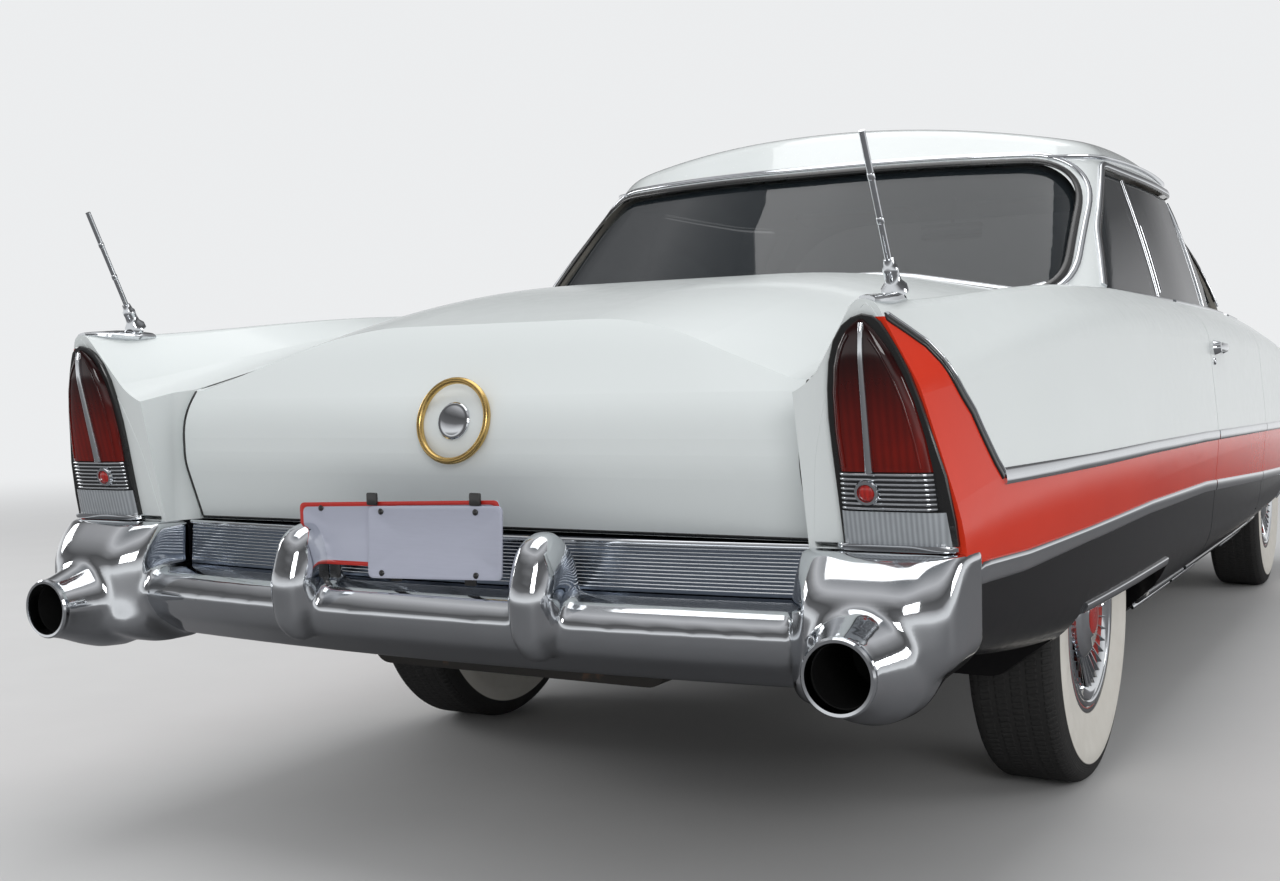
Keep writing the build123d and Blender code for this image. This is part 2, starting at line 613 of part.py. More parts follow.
steering_plane = Plane(origin=wheel_middle, x_dir=(1, 0, 0), z_dir=column_way)
grip_radius = 212
steering_wheel = steering_plane * (
    Torus(grip_radius, 12) + Pos(0, 0, -20) * Cylinder(40, 26)
    + Pos(0, 0, -10) * Box(2 * grip_radius, 22, 10)
    + Pos(0, -grip_radius / 2, -10) * Box(22, grip_radius, 10))

antennas = []
for side in (1, -1):
    foot, tip = (side * 825, 2492, 975), (side * 818, 2638, 1262)
    mast = rod(foot, tip, 5) + rod(foot, (side * 823, 2539, 1067), 12)
    antennas.append(mast - rear_body)

# Wheels: a tyre, and a rim with its dish and cover
tyre_profile = [(-tyre_half, 300), (-86, 214), (-74, bead_radius), (74, bead_radius), (86, 214),
                (tyre_half, 300), (88, 352), (70, wheel_z), (-70, wheel_z), (-88, 352)]


def make_tyre():
    profile = Plane.XY * turned(tyre_profile, [60, 20, 10, 10, 20, 60, 30, 20, 20, 30])
    return revolve(profile, Axis.X, 360)


def make_rim():
    seat_radius = bead_radius - fit
    ring_points = [(-84, flange_radius), (-84, 182), (20, 176), (hub_face, 160), (hub_face, 0.01),
                   (60, 0.01), (56, 42), (46, 58), (64, 130), (79, 186), (84, 202), (84, flange_radius),
                   (76, seat_radius), (-76, seat_radius)]
    face = make_face(Polyline(*[(p[0], p[1]) for p in ring_points], close=True))
    return revolve(face, Axis.X, 360)


tyre_local = make_tyre()
rim_local = make_rim() - tyre_local
wheel_places = {
    "front_left": (front_track / 2, front_axle_y, 0), "front_right": (-front_track / 2, front_axle_y, 180),
    "rear_left": (rear_track / 2, rear_axle_y, 0), "rear_right": (-rear_track / 2, rear_axle_y, 180),
}

nodes = {
    "front_fenders": front_fenders, "cowl": cowl, "floor_pan": floor_pan, "rear_body": rear_body,
    "roof": roof,
    "windshield": windshield, "rear_window": rear_window, "quarter_windows": quarter_windows, "hood": hood,
    "trunk_lid": trunk_lid, "door_left": door_left, "door_right": mirror(door_left, Plane.YZ),
    "door_glass_left": door_glass_left, "door_glass_right": mirror(door_glass_left, Plane.YZ),
    "fender_skirts": fender_skirts, "tail_lamps": tail_lamps, "reversing_lamps": reversing_lamps,
    "tail_lamp_housings": housings, "rear_bumper": rear_bumper, "rear_grille": rear_grille,
    "licence_plate": licence_plate, "front_bumper": front_bumper, "front_grille": front_grille,
    "headlamps": headlamps, "frame": frame, "engine_block": engine_block, "exhaust_system": exhaust_system,
    "fuel_tank": fuel_tank, "rear_axle": rear_axle, "front_suspension": front_suspension,
    "knuckle_left": knuckle, "knuckle_right": mirror(knuckle, Plane.YZ), "front_seat": front_seat,
    "rear_seat": rear_seat, "dashboard": dashboard, "steering_wheel": steering_wheel, "antennas": antennas,
}
for place, (x, y, turn) in wheel_places.items():
    nodes["tyre_" + place] = Pos(x, y, wheel_z) * Rot(0, 0, turn) * tyre_local
    nodes["wheel_" + place] = Pos(x, y, wheel_z) * Rot(0, 0, turn) * rim_local

for name, shape in nodes.items():
    write(name, shape)
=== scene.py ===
"""The looks of a 1950s two-door hardtop with tail fins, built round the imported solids.

Metres. The nose faces -Y, +Z is up, +X is the car's left side.
"""

from math import acos, cos, pi, radians, sin, tan

import bmesh
import bpy
from mathutils import Matrix, Vector
from mathutils.bvhtree import BVHTree


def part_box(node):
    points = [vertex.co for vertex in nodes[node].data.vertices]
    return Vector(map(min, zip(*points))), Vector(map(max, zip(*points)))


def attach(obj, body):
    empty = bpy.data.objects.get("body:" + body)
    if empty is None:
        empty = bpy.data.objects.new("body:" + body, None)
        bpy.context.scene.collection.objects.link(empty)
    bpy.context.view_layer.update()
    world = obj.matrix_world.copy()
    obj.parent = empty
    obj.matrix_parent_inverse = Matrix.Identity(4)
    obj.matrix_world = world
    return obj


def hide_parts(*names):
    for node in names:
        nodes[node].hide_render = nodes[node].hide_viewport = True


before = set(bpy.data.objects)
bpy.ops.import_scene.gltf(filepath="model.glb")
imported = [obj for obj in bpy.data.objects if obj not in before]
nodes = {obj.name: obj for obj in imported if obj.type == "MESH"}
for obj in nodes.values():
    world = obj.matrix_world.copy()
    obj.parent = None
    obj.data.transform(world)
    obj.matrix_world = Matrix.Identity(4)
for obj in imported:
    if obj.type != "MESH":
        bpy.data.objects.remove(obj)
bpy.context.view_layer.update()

# Colours, as linear light
ENAMEL_WHITE = (0.76, 0.80, 0.80, 1)
ENAMEL_RED = (0.72, 0.045, 0.016, 1)
ENAMEL_BLACK = (0.004, 0.004, 0.005, 1)
UNDERSIDE_BLACK = (0.018, 0.017, 0.016, 1)
CHROME = (0.74, 0.76, 0.78, 1)
LEATHER_RED = (0.42, 0.035, 0.02, 1)
LEATHER_WHITE = (0.62, 0.60, 0.55, 1)

# The colour breaks along the side, as (y, z)
upper_break = [(-2.600, 0.652), (-0.480, 0.699), (0.629, 0.722), (1.349, 0.732), (1.801, 0.735), (2.132, 0.739),
               (2.377, 0.742)]
lower_break = [(-2.600, 0.460), (-1.400, 0.503), (-0.589, 0.535), (0.578, 0.588), (1.317, 0.600), (2.277, 0.597),
               (2.534, 0.606)]
# The upper strip turns up the fin here, and meets its rear edge near the lamp's tip
fin_line = [(2.377, 0.742), (2.400, 0.766), (2.418, 0.790), (2.438, 0.818), (2.456, 0.846), (2.483, 0.873),
            (2.506, 0.901), (2.522, 0.927), (2.547, 0.951), (2.596, 0.972), (2.648, 0.991)]
side_reach = 0.868           # skin further out than this is the car's side
fin_ridge_x = 0.829
# The fin's end is a slanted plane: where it starts at the lamp's foot, and how far it leans per metre of height
lamp_foot_y, lamp_foot_z, lamp_lean = 2.575, 0.641, 0.2296
# The bumper's two exhaust ports
port_x, port_z, port_outer, port_bore = 0.821, 0.485, 0.0555, 0.0480
# What the camera, the glass and the far floor see of the studio
BACKDROP = (0.84, 0.85, 0.86, 1)
NOSE_Y = -2.455              # the red band starts behind this

wheel_z = sum((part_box("tyre_rear_left")[i].z for i in (0, 1))) / 2
axle_y = {end: sum((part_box(f"tyre_{end}_left")[i].y for i in (0, 1))) / 2 for end in ("front", "rear")}
whitewall_inner, whitewall_outer = 0.214, 0.322


# Shader maths

class Reading:
    """A value inside a finish. Arithmetic on it adds Math nodes."""

    def __init__(self, finish, socket):
        self.finish, self.socket = finish, socket

    def sum_of(self, operation, *values):
        return self.finish.add("Math", {"operation": operation}, dict(enumerate(values)))

    def __add__(self, other):
        return self.sum_of("ADD", self, other)

    def __radd__(self, other):
        return self.sum_of("ADD", other, self)

    def __sub__(self, other):
        return self.sum_of("SUBTRACT", self, other)

    def __rsub__(self, other):
        return self.sum_of("SUBTRACT", other, self)

    def __mul__(self, other):
        return self.sum_of("MULTIPLY", self, other)

    def __rmul__(self, other):
        return self.sum_of("MULTIPLY", other, self)

    def __truediv__(self, other):
        return self.sum_of("DIVIDE", self, other)

    def size(self):
        return self.sum_of("ABSOLUTE", self)

    def power(self, exponent):
        return self.sum_of("POWER", self, exponent)

    def above(self, edge, soft=0.0004):
        """0 below the edge and 1 above it."""
        return self.finish.add("MapRange", {"interpolation_type": "SMOOTHSTEP"},
                               {"Value": self, "From Min": edge - soft, "From Max": edge + soft})

    def below(self, edge, soft=0.0004):
        return 1 - self.above(edge, soft)


class Finish:
    """A material being made. One method adds any node: its settings first, then its sockets."""

    def __init__(self, name, **constants):
        self.material = bpy.data.materials.new(name)
        self.material.use_nodes = True
        self.tree = self.material.node_tree
        self.tree.nodes.clear()
        self.shader = self.tree.nodes.new("ShaderNodeBsdfPrincipled")
        output = self.tree.nodes.new("ShaderNodeOutputMaterial")
        self.tree.links.new(self.shader.outputs[0], output.inputs[0])
        for socket, value in constants.items():
            self.feed(self.shader.inputs[socket.replace("_", " ")], value)

    def feed(self, socket, value):
        if isinstance(value, Reading):
            self.tree.links.new(value.socket, socket)
        else:
            socket.default_value = value

    def add(self, kind, settings=(), sockets=(), out=0):
        node = self.tree.nodes.new("ShaderNode" + kind)
        for setting, value in dict(settings).items():
            setattr(node, setting, value)
        for socket, value in dict(sockets).items():
            self.feed(node.inputs[socket], value)
        return Reading(self, node.outputs[out])

    def set(self, **values):
        for socket, value in values.items():
            self.feed(self.shader.inputs[socket.replace("_", " ")], value)
        return self

    def place(self):
        return self.add("TexCoord", out="Object")

    def normal(self):
        return self.add("TexCoord", out="Normal")

    def axes(self, vector=None):
        vector = vector or self.place()
        split = self.add("SeparateXYZ", sockets={0: vector}).socket.node
        return [Reading(self, output) for output in split.outputs]

    def moved(self, location=(0, 0, 0), scale=(1, 1, 1), rotation=(0, 0, 0)):
        return self.add("Mapping", {"vector_type": "POINT"},
                        {"Vector": self.place(), "Location": location, "Scale": scale, "Rotation": rotation})

    def grain(self, scale, detail=3.0, rough=0.55, vector=None):
        return self.add("TexNoise", {}, {"Vector": vector or self.place(), "Scale": scale, "Detail": detail,
                                         "Roughness": rough})

    def cells(self, scale, vector=None, feature="F1"):
        return self.add("TexVoronoi", {"feature": feature}, {"Vector": vector or self.place(), "Scale": scale})

    def colour(self, share, first, second):
        """The first colour where share is 0, and the second where it is 1."""
        return self.add("Mix", {"data_type": "RGBA"}, {0: share, 6: first, 7: second}, out=2)

    def raised(self, height, depth=0.001, strength=1.0, under=None):
        sockets = {"Height": height, "Distance": depth, "Strength": strength}
        if under is not None:
            sockets["Normal"] = under
        return self.add("Bump", {}, sockets)


def either(*masks):
    """1 where any of the masks is 1."""
    found = masks[0]
    for mask in masks[1:]:
        found = found.sum_of("MAXIMUM", found, mask)
    return found


def height_on_line(y, points):
    """The height of a run of straight pieces, given as (y, z), at each y of the surface."""
    finish = y.finish
    found = points[0][1] + (y - points[0][0]) * 0
    for (y0, z0), (y1, z1) in zip(points, points[1:]):
        found = found + finish.add("MapRange", {}, {"Value": y, "From Min": y0, "From Max": y1, "To Min": 0.0,
                                                    "To Max": z1 - z0})
    return found


# Finishes

def faded(tone, share):
    """The same colour with this share of its light."""
    return tuple(share * c for c in tone[:3]) + (1,)


def body_enamel():
    """White above, a red band between two strips, black below, and black inside the wheel wells."""
    f = Finish("banded_enamel", Coat_Weight=0.10, Coat_Roughness=0.04, IOR=1.4,
               Specular_IOR_Level=0.15)
    x, y, z = f.axes()
    out = x.size()
    side = out.above(side_reach)
    upper = height_on_line(y, upper_break)
    lower = height_on_line(y, lower_break)
    over_lower = (z - lower).above(0)
    under_upper = (upper - z).above(0)
    behind = (height_on_line(y, fin_line) - z).above(0) * y.above(fin_line[0][0]) * out.above(fin_ridge_x)
    band = over_lower * either(under_upper * side, behind) * y.above(NOSE_Y)
    inner = out.below(side_reach) * z.below(0.80) * y.above(-2.44) * y.below(2.40)
    tail_low = z.below(0.640) * y.above(2.3) * out.below(0.70)
    dark = either(side * (lower - z).above(0), inner, z.below(0.45), tail_low)
    shade = f.grain(2.2, 2) * 0.05 + 0.97
    white = f.colour(f.grain(1.3, 2), ENAMEL_WHITE, faded(ENAMEL_WHITE, 0.94))
    red = f.colour(f.grain(3.0, 3), ENAMEL_RED, (0.62, 0.032, 0.012, 1))
    dusty = f.grain(60, 4) * z.below(0.42, 0.12) * 0.35
    black = f.colour(dusty, ENAMEL_BLACK, (0.018, 0.016, 0.014, 1))
    paint = f.colour(dark, f.colour(band, white, red), black)
    peel = f.grain(260, 2) * 0.6 + f.cells(140) * 0.4
    f.set(Base_Color=paint, Roughness=0.20 + f.grain(30, 4) * 0.10 - shade * 0.08 + dusty * 0.3,
          Normal=f.raised(peel, 0.00008, 0.15))
    return f.material


def gloss_black():
    f = Finish("gloss_black_paint", Coat_Weight=0.6, Coat_Roughness=0.06)
    dust = f.grain(45, 4)
    f.set(Base_Color=f.colour(dust, (0.010, 0.010, 0.011, 1), (0.024, 0.023, 0.022, 1)),
          Roughness=0.22 + dust * 0.14, Normal=f.raised(f.grain(220, 2), 0.0001, 0.3))
    return f.material


def chassis_black():
    """Flaking satin black with dust, for what is under the car."""
    f = Finish("satin_chassis_black")
    chips = f.grain(18, 6).above(0.66, 0.05)
    dust = f.grain(7, 5)
    base = f.colour(dust, UNDERSIDE_BLACK, (0.050, 0.044, 0.038, 1))
    f.set(Base_Color=f.colour(chips, base, (0.085, 0.050, 0.032, 1)), Roughness=0.55 + dust * 0.3,
          Normal=f.raised(f.grain(120, 4) + chips * 0.5, 0.0006, 0.6))
    return f.material


def chrome(name="polished_chrome", dark=None):
    """Bright plating with faint polishing haze. dark gives a mask that blackens its hollows."""
    f = Finish(name, Metallic=1.0)
    haze = f.grain(14, 4)
    fine = f.grain(320, 2)
    bright = f.colour(haze, CHROME, (0.66, 0.68, 0.71, 1))
    rough = 0.045 + haze * 0.05 + fine * 0.015
    if dark:
        mask = dark(f)
        bright = f.colour(mask, bright, (0.012, 0.010, 0.009, 1))
        rough = rough + mask * 0.6
    f.set(Base_Color=bright, Roughness=rough, Normal=f.raised(f.grain(24, 2), 0.0004, 0.10))
    return f.material


def port_soot(f):
    """Black inside the two exhaust ports."""
    x, y, z = f.axes()
    off = ((x.size() - port_x).power(2) + (z - port_z).power(2)).power(0.5)
    return off.below(port_bore + 0.0017) * y.above(2.52)


def housing_chrome():
    """The lamp housing: black where it frames the lens, plated at its ribbed band and foot."""
    f = Finish("lamp_housing", Coat_Weight=0.3)
    x, y, z = f.axes()
    proud = y - (lamp_foot_y + (z - lamp_foot_z) * lamp_lean)
    plated = either(z.below(0.6625), z.above(0.708) * z.below(0.771) * proud.above(0.0098))
    haze = f.grain(16, 4)
    base = f.colour(plated, (0.012, 0.012, 0.013, 1), f.colour(haze, CHROME, (0.62, 0.64, 0.67, 1)))
    f.set(Base_Color=base, Metallic=plated, Roughness=0.06 + haze * 0.08,
          Normal=f.raised(f.grain(30, 2), 0.0003, 0.12))
    return f.material


def red_lens():
    """Deep red lens, fluted inside. A painted glow brightens it towards its foot; painted shade darkens its flutes."""
    f = Finish("red_lens", Coat_Weight=0.3, Coat_Roughness=0.02, IOR=1.45)
    x, y, z = f.axes()
    flutes = (x * 520).sum_of("SINE", x * 520) * 0.5 + 0.5
    # Painted glow: the colour brightens towards the lens's foot, broken up by a noise that also varies the roughness
    lower = z.below(0.86, 0.09)
    glow = f.grain(9, 3)
    base = f.colour(lower * (0.25 + glow * 0.75), (0.016, 0.001, 0.001, 1), (0.26, 0.009, 0.003, 1))
    # Painted shade: the colour darkens along the flutes
    f.set(Base_Color=f.colour(flutes * 0.25, base, (0.010, 0.0005, 0.0005, 1)), Roughness=0.08 + glow * 0.06,
          Normal=f.raised(flutes, 0.0004, 0.15))
    return f.material


def clear_lens(name, tint):
    """Frosted, fluted lamp glass, with painted shade darkening its flutes."""
    f = Finish(name, Coat_Weight=1.0, Coat_Roughness=0.03, IOR=1.5)
    x, y, z = f.axes()
    flutes = x.sum_of("SINE", x * 780) * 0.5 + 0.5
    frost = f.grain(35, 4)
    # Painted shade: the colour darkens along the flutes; the frost noise is the glass's own tone
    f.set(Base_Color=f.colour(flutes * 0.5 + frost * 0.25, tint, faded(tint, 0.45)), Roughness=0.16 + frost * 0.12,
          Normal=f.raised(flutes, 0.0012, 0.5))
    return f.material


def window_glass():
    f = Finish("tinted_window_glass", IOR=1.5, Coat_Weight=0.5, Coat_Roughness=0.01)
    facing = f.add("LayerWeight", {}, {"Blend": 0.35}, out="Facing")
    dust = f.grain(26, 5)
    f.set(Base_Color=f.colour(dust, (0.008, 0.012, 0.016, 1), (0.020, 0.026, 0.030, 1)),
          Roughness=0.015 + dust * 0.03, Alpha=0.58 + facing * 0.38 + dust * 0.03)
    return f.material


def whitewall_tyre(centre_y):
    """Black rubber with a wide white band, moulded rings and a block tread."""
    f = Finish("whitewall_rubber")
    spot = f.moved(location=(0, -centre_y, -wheel_z))
    x, y, z = f.axes(spot)
    radius = (y.power(2) + z.power(2)).power(0.5)
    turn = y.sum_of("ARCTAN2", z, y)
    white = radius.above(whitewall_inner, 0.0015) * radius.below(whitewall_outer, 0.0015)
    scuff = f.grain(22, 5)
    fine = f.grain(150, 4)
    band = f.colour(scuff * 0.5, (0.74, 0.72, 0.67, 1), (0.50, 0.47, 0.41, 1))
    rubber = f.colour(fine, (0.012, 0.012, 0.013, 1), (0.035, 0.034, 0.032, 1))
    ring = radius.sum_of("SINE", radius * 1400) * radius.above(whitewall_outer) * radius.below(0.348)
    tread = radius.above(0.352)
    blocks = turn.sum_of("SINE", turn * 150 + x * 90) * 0.5 + 0.5
    groove = x.sum_of("SINE", x * 190) * 0.5 + 0.5
    height = (ring * 0.15) + tread * (blocks.above(0.3, 0.2) * groove.above(0.3, 0.15)) * 2 + fine * 0.08
    f.set(Base_Color=f.colour(white, rubber, band), Roughness=0.62 + scuff * 0.2,
          Normal=f.raised(height, 0.0016, 0.7))
    return f.material


def wheel_paint(centre_y):
    """Red steel wheel inside, bright cover outside."""
    f = Finish("wheel_red_and_chrome", Coat_Weight=0.3)
    spot = f.moved(location=(0, -centre_y, -wheel_z))
    x, y, z = f.axes(spot)
    radius = (y.power(2) + z.power(2)).power(0.5)
    red = radius.above(0.192) * radius.below(0.204)
    hub = radius.below(0.040)
    plated = 1 - either(red, hub)
    haze = f.grain(25, 4)
    base = f.colour(plated, (0.55, 0.035, 0.015, 1), f.colour(haze, CHROME, (0.60, 0.62, 0.64, 1)))
    f.set(Base_Color=base, Metallic=plated, Roughness=0.08 + haze * 0.10 + (1 - plated) * 0.2,
          Normal=f.raised(f.grain(60, 3), 0.0004, 0.2))
    return f.material


def brushed(name, tone, dark, scale=(1, 60, 60), rough=0.30):
    """Brushed or anodised metal, with its grain along X."""
    f = Finish(name, Metallic=1.0)
    lines = f.grain(12, 5, vector=f.moved(scale=scale))
    wear = f.grain(8, 4)
    f.set(Base_Color=f.colour(lines * 0.6 + wear * 0.3, tone, dark), Roughness=rough + lines * 0.12,
          Normal=f.raised(lines, 0.0003, 0.25))
    return f.material


def cast_iron(name, tone, scale=90):
    f = Finish(name, Metallic=0.3)
    lumps = f.grain(scale, 5)
    stain = f.grain(9, 4)
    f.set(Base_Color=f.colour(stain, tone, faded(tone, 0.5)), Roughness=0.5 + stain * 0.3,
          Normal=f.raised(lumps, 0.0008, 0.5))
    return f.material


def plate_enamel(name, tone):
    """Blank pressed plate: satin enamel with faint scratches."""
    f = Finish(name, Coat_Weight=0.2)
    scratch = f.grain(30, 6, vector=f.moved(scale=(1, 1, 12)))
    f.set(Base_Color=f.colour(scratch * 0.35, tone, faded(tone, 0.72)),
          Roughness=0.36 + scratch * 0.18, Normal=f.raised(scratch, 0.0002, 0.25))
    return f.material


def leather(name, tone, dark):
    """Grained hide with creases and a soft sheen."""
    f = Finish(name, Sheen_Weight=0.15, Coat_Weight=0.15, Coat_Roughness=0.35)
    pores = f.cells(520, feature="F1")
    crease = f.grain(46, 6)
    rub = f.grain(5, 3)
    f.set(Base_Color=f.colour(crease * 0.45 + rub * 0.35, tone, dark), Roughness=0.40 + crease * 0.22,
          Normal=f.raised(pores * 0.6 + crease * 0.8, 0.0007, 0.45))
    return f.material


def bordered_plate():
    """A pale plate whose raised border is red."""
    f = Finish("red_bordered_plate", Coat_Weight=0.3)
    x, y, z = f.axes()
    proud = y.above(2.6463, 0.0003)
    wear = f.grain(40, 4)
    pale = f.colour(wear * 0.4, (0.46, 0.48, 0.58, 1), (0.40, 0.42, 0.50, 1))
    f.set(Base_Color=f.colour(proud, pale, (0.50, 0.020, 0.012, 1)), Roughness=0.28 + wear * 0.15,
          Normal=f.raised(f.grain(90, 3), 0.0002, 0.3))
    return f.material


def two_tone_hide():
    """Red hide with the pleated middle of the seats in white."""
    f = Finish("two_tone_hide", Sheen_Weight=0.15, Coat_Weight=0.15, Coat_Roughness=0.35)
    x, y, z = f.axes()
    nx, ny, nz = f.axes(f.normal())
    top = nz.above(0.35, 0.1) * z.below(0.66)
    front = ny.below(-0.45, 0.1) * z.above(0.60) * z.below(0.945)
    white = either(top, front) * x.size().below(0.600)
    crease = f.grain(46, 6)
    rub = f.grain(5, 3)
    tone = f.colour(white, f.colour(crease * 0.45 + rub * 0.35, LEATHER_RED, (0.25, 0.018, 0.012, 1)),
                    f.colour(crease * 0.45 + rub * 0.35, LEATHER_WHITE, (0.42, 0.39, 0.33, 1)))
    f.set(Base_Color=tone, Roughness=0.40 + crease * 0.22,
          Normal=f.raised(f.cells(520) * 0.6 + crease * 0.8, 0.0007, 0.45))
    return f.material


def floor_paint():
    """Satin black below, looped carpet where the floor faces up into the cabin."""
    f = Finish("floor_black_and_carpet")
    nx, ny, nz = f.axes(f.normal())
    x, y, z = f.axes()
    up = nz.above(0.3, 0.1)
    loops = f.cells(900)
    dust = f.grain(7, 5)
    base = f.colour(dust, UNDERSIDE_BLACK, (0.050, 0.044, 0.038, 1))
    pile = f.colour(loops, (0.16, 0.012, 0.009, 1), (0.07, 0.006, 0.005, 1))
    f.set(Base_Color=f.colour(up, base, pile), Roughness=0.6 + up * 0.3,
          Normal=f.raised(loops * up + f.grain(120, 4) * (1 - up), 0.001, 0.6))
    return f.material


def dash_enamel():
    """Padded top, painted face."""
    f = Finish("dashboard_enamel", Coat_Weight=0.5, Coat_Roughness=0.1)
    x, y, z = f.axes()
    top = z.above(0.955, 0.004)
    grain = f.grain(160, 4)
    f.set(Base_Color=f.colour(top, ENAMEL_RED, (0.020, 0.018, 0.018, 1)), Roughness=0.25 + top * 0.35 + grain * 0.1,
          Normal=f.raised(grain, 0.0006, 0.3))
    return f.material


def moulded_plastic(name, tone):
    f = Finish(name, Coat_Weight=0.4, Coat_Roughness=0.08)
    swirl = f.grain(20, 4)
    f.set(Base_Color=f.colour(swirl * 0.5, tone, faded(tone, 0.8)),
          Roughness=0.22 + swirl * 0.12, Normal=f.raised(f.grain(200, 2), 0.0001, 0.2))
    return f.material


def roof_finish():
    """White enamel outside; cloth where the shell faces down or inwards."""
    f = Finish("roof_enamel_and_lining", Coat_Weight=0.9, Coat_Roughness=0.03)
    nx, ny, nz = f.axes(f.normal())
    x, y, z = f.axes()
    inward = (x * nx + (y - 0.15) * ny + (z - 1.15) * nz * 1.2).below(0.02, 0.01)
    nap = f.grain(120, 4)
    white = f.colour(f.grain(1.3, 2), ENAMEL_WHITE, faded(ENAMEL_WHITE, 0.94))
    peel = f.grain(260, 2) * (1 - inward) * 0.2 + nap * inward
    f.set(Base_Color=f.colour(inward, white, (0.36, 0.34, 0.30, 1)), Roughness=0.24 + inward * 0.55 + nap * 0.05,
          Normal=f.raised(peel, 0.0005, 0.3))
    return f.material


enamel = body_enamel()
black_gloss = gloss_black()
chassis = chassis_black()
bright = chrome()
sooted = chrome("bumper_chrome", port_soot)
housing = housing_chrome()
lens = red_lens()
frosted = clear_lens("frosted_lamp_glass", (0.42, 0.45, 0.48, 1))
headlamp_glass = clear_lens("fluted_headlamp_glass", (0.55, 0.58, 0.60, 1))
glass = window_glass()
rubber = {end: whitewall_tyre(axle_y[end]) for end in axle_y}
wheel_finish = {end: wheel_paint(axle_y[end]) for end in axle_y}
insert_metal = brushed("blue_grey_insert", (0.16, 0.19, 0.24, 1), (0.05, 0.06, 0.08, 1), rough=0.26)
gold_metal = brushed("gold_anodised", (0.80, 0.56, 0.22, 1), (0.52, 0.34, 0.11, 1), rough=0.2)
iron = cast_iron("engine_iron", (0.10, 0.13, 0.15, 1))
pipe = cast_iron("exhaust_steel", (0.045, 0.040, 0.036, 1), 60)
soot = cast_iron("sooty_liner", (0.008, 0.008, 0.008, 1), 40)
# The ribbed lamp band is plated; its near-black ground between the bright ribs is painted shade in the grooves
band_groove_painted_shade = cast_iron("lamp_band_painted_shade", (0.030, 0.031, 0.034, 1), 160)
reflector_red = clear_lens("reflector_red", (0.50, 0.014, 0.008, 1))
wheel_red = plate_enamel("wheel_dish_red", (0.42, 0.022, 0.012, 1))
hub_red = moulded_plastic("hub_centre_red", (0.48, 0.016, 0.010, 1))
amber_glass = clear_lens("amber_lamp_glass", (0.62, 0.42, 0.22, 1))
card_hide = leather("door_card_hide", (0.56, 0.53, 0.47, 1), (0.40, 0.36, 0.30, 1))
mirror_silver = chrome("mirror_silver")
cover_enamel = moulded_plastic("rocker_cover_enamel", (0.030, 0.055, 0.085, 1))
seat_hide = two_tone_hide()
plate_pale = plate_enamel("plate_pale", (0.46, 0.48, 0.58, 1))
plate_bordered = bordered_plate()
knuckle = cast_iron("forged_knuckle", (0.07, 0.07, 0.07, 1), 120)
plate_blue = plate_enamel("plate_blue_grey", (0.34, 0.37, 0.50, 1))
red_hide = leather("red_hide", LEATHER_RED, (0.25, 0.018, 0.012, 1))
white_hide = leather("white_hide", LEATHER_WHITE, (0.42, 0.39, 0.33, 1))
floor_finish = floor_paint()
dash_paint = dash_enamel()
ivory = moulded_plastic("ivory_plastic", (0.66, 0.60, 0.46, 1))
# Black rubber and black paint, and also the dark lines drawn in panel gaps, which are painted shade
rubber_and_painted_shade = moulded_plastic("black_rubber_and_painted_shade", (0.014, 0.014, 0.014, 1))
roof_paint = roof_finish()

finish_of = {
    "front_fenders": enamel, "cowl": enamel, "floor_pan": floor_finish, "rear_body": enamel, "roof": roof_paint,
    "windshield": glass, "rear_window": glass, "quarter_windows": glass, "hood": enamel, "trunk_lid": enamel,
    "door_left": enamel, "door_right": enamel, "door_glass_left": glass, "door_glass_right": glass,
    "fender_skirts": enamel, "tail_lamps": lens, "reversing_lamps": frosted, "tail_lamp_housings": housing,
    "rear_bumper": sooted, "rear_grille": insert_metal, "licence_plate": plate_blue, "front_bumper": bright,
    "front_grille": gold_metal, "headlamps": headlamp_glass, "frame": chassis, "engine_block": iron,
    "exhaust_system": pipe, "fuel_tank": chassis, "rear_axle": chassis, "front_suspension": chassis,
    "knuckle_left": knuckle, "knuckle_right": knuckle, "front_seat": red_hide, "rear_seat": red_hide,
    "dashboard": dash_paint, "steering_wheel": ivory, "antennas": bright,
}
for end in axle_y:
    for hand in ("left", "right"):
        finish_of[f"tyre_{end}_{hand}"] = rubber[end]
        finish_of[f"wheel_{end}_{hand}"] = wheel_finish[end]
for name, finish in finish_of.items():
    nodes[name].data.materials.clear()
    nodes[name].data.materials.append(finish)
    for face in nodes[name].data.polygons:
        face.use_smooth = nodes[name].data.polygons[0].use_smooth


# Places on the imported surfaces

skins = {}


def skin(name):
    """The surface of a CAD node, for lines to meet."""
    if name not in skins:
        mesh = nodes[name].data
        skins[name] = BVHTree.FromPolygons([v.co for v in mesh.vertices], [tuple(f.vertices) for f in mesh.polygons])
    return skins[name]


def touch(name, start, way):
    """Where a straight line meets a node, and which way the surface faces there, or None."""
    way = Vector(way)
    found, normal, _, _ = skin(name).ray_cast(Vector(start), way)
    if found is None:
        return None
    return found, -normal if normal.dot(way) > 0 else normal


def from_side(name, y, z):
    return touch(name, (1.4, y, z), (-1, 0, 0))


def from_behind(name, x, z):
    return touch(name, (x, 3.2, z), (0, -1, 0))


def from_ahead(name, x, z):
    return touch(name, (x, -3.2, z), (0, 1, 0))


def from_above(name, x, y):
    return touch(name, (x, y, 2.5), (0, 0, -1))


def steps(first, last, step):
    count = max(2, round(abs(last - first) / step) + 1)
    return [first + (last - first) * i / (count - 1) for i in range(count)]


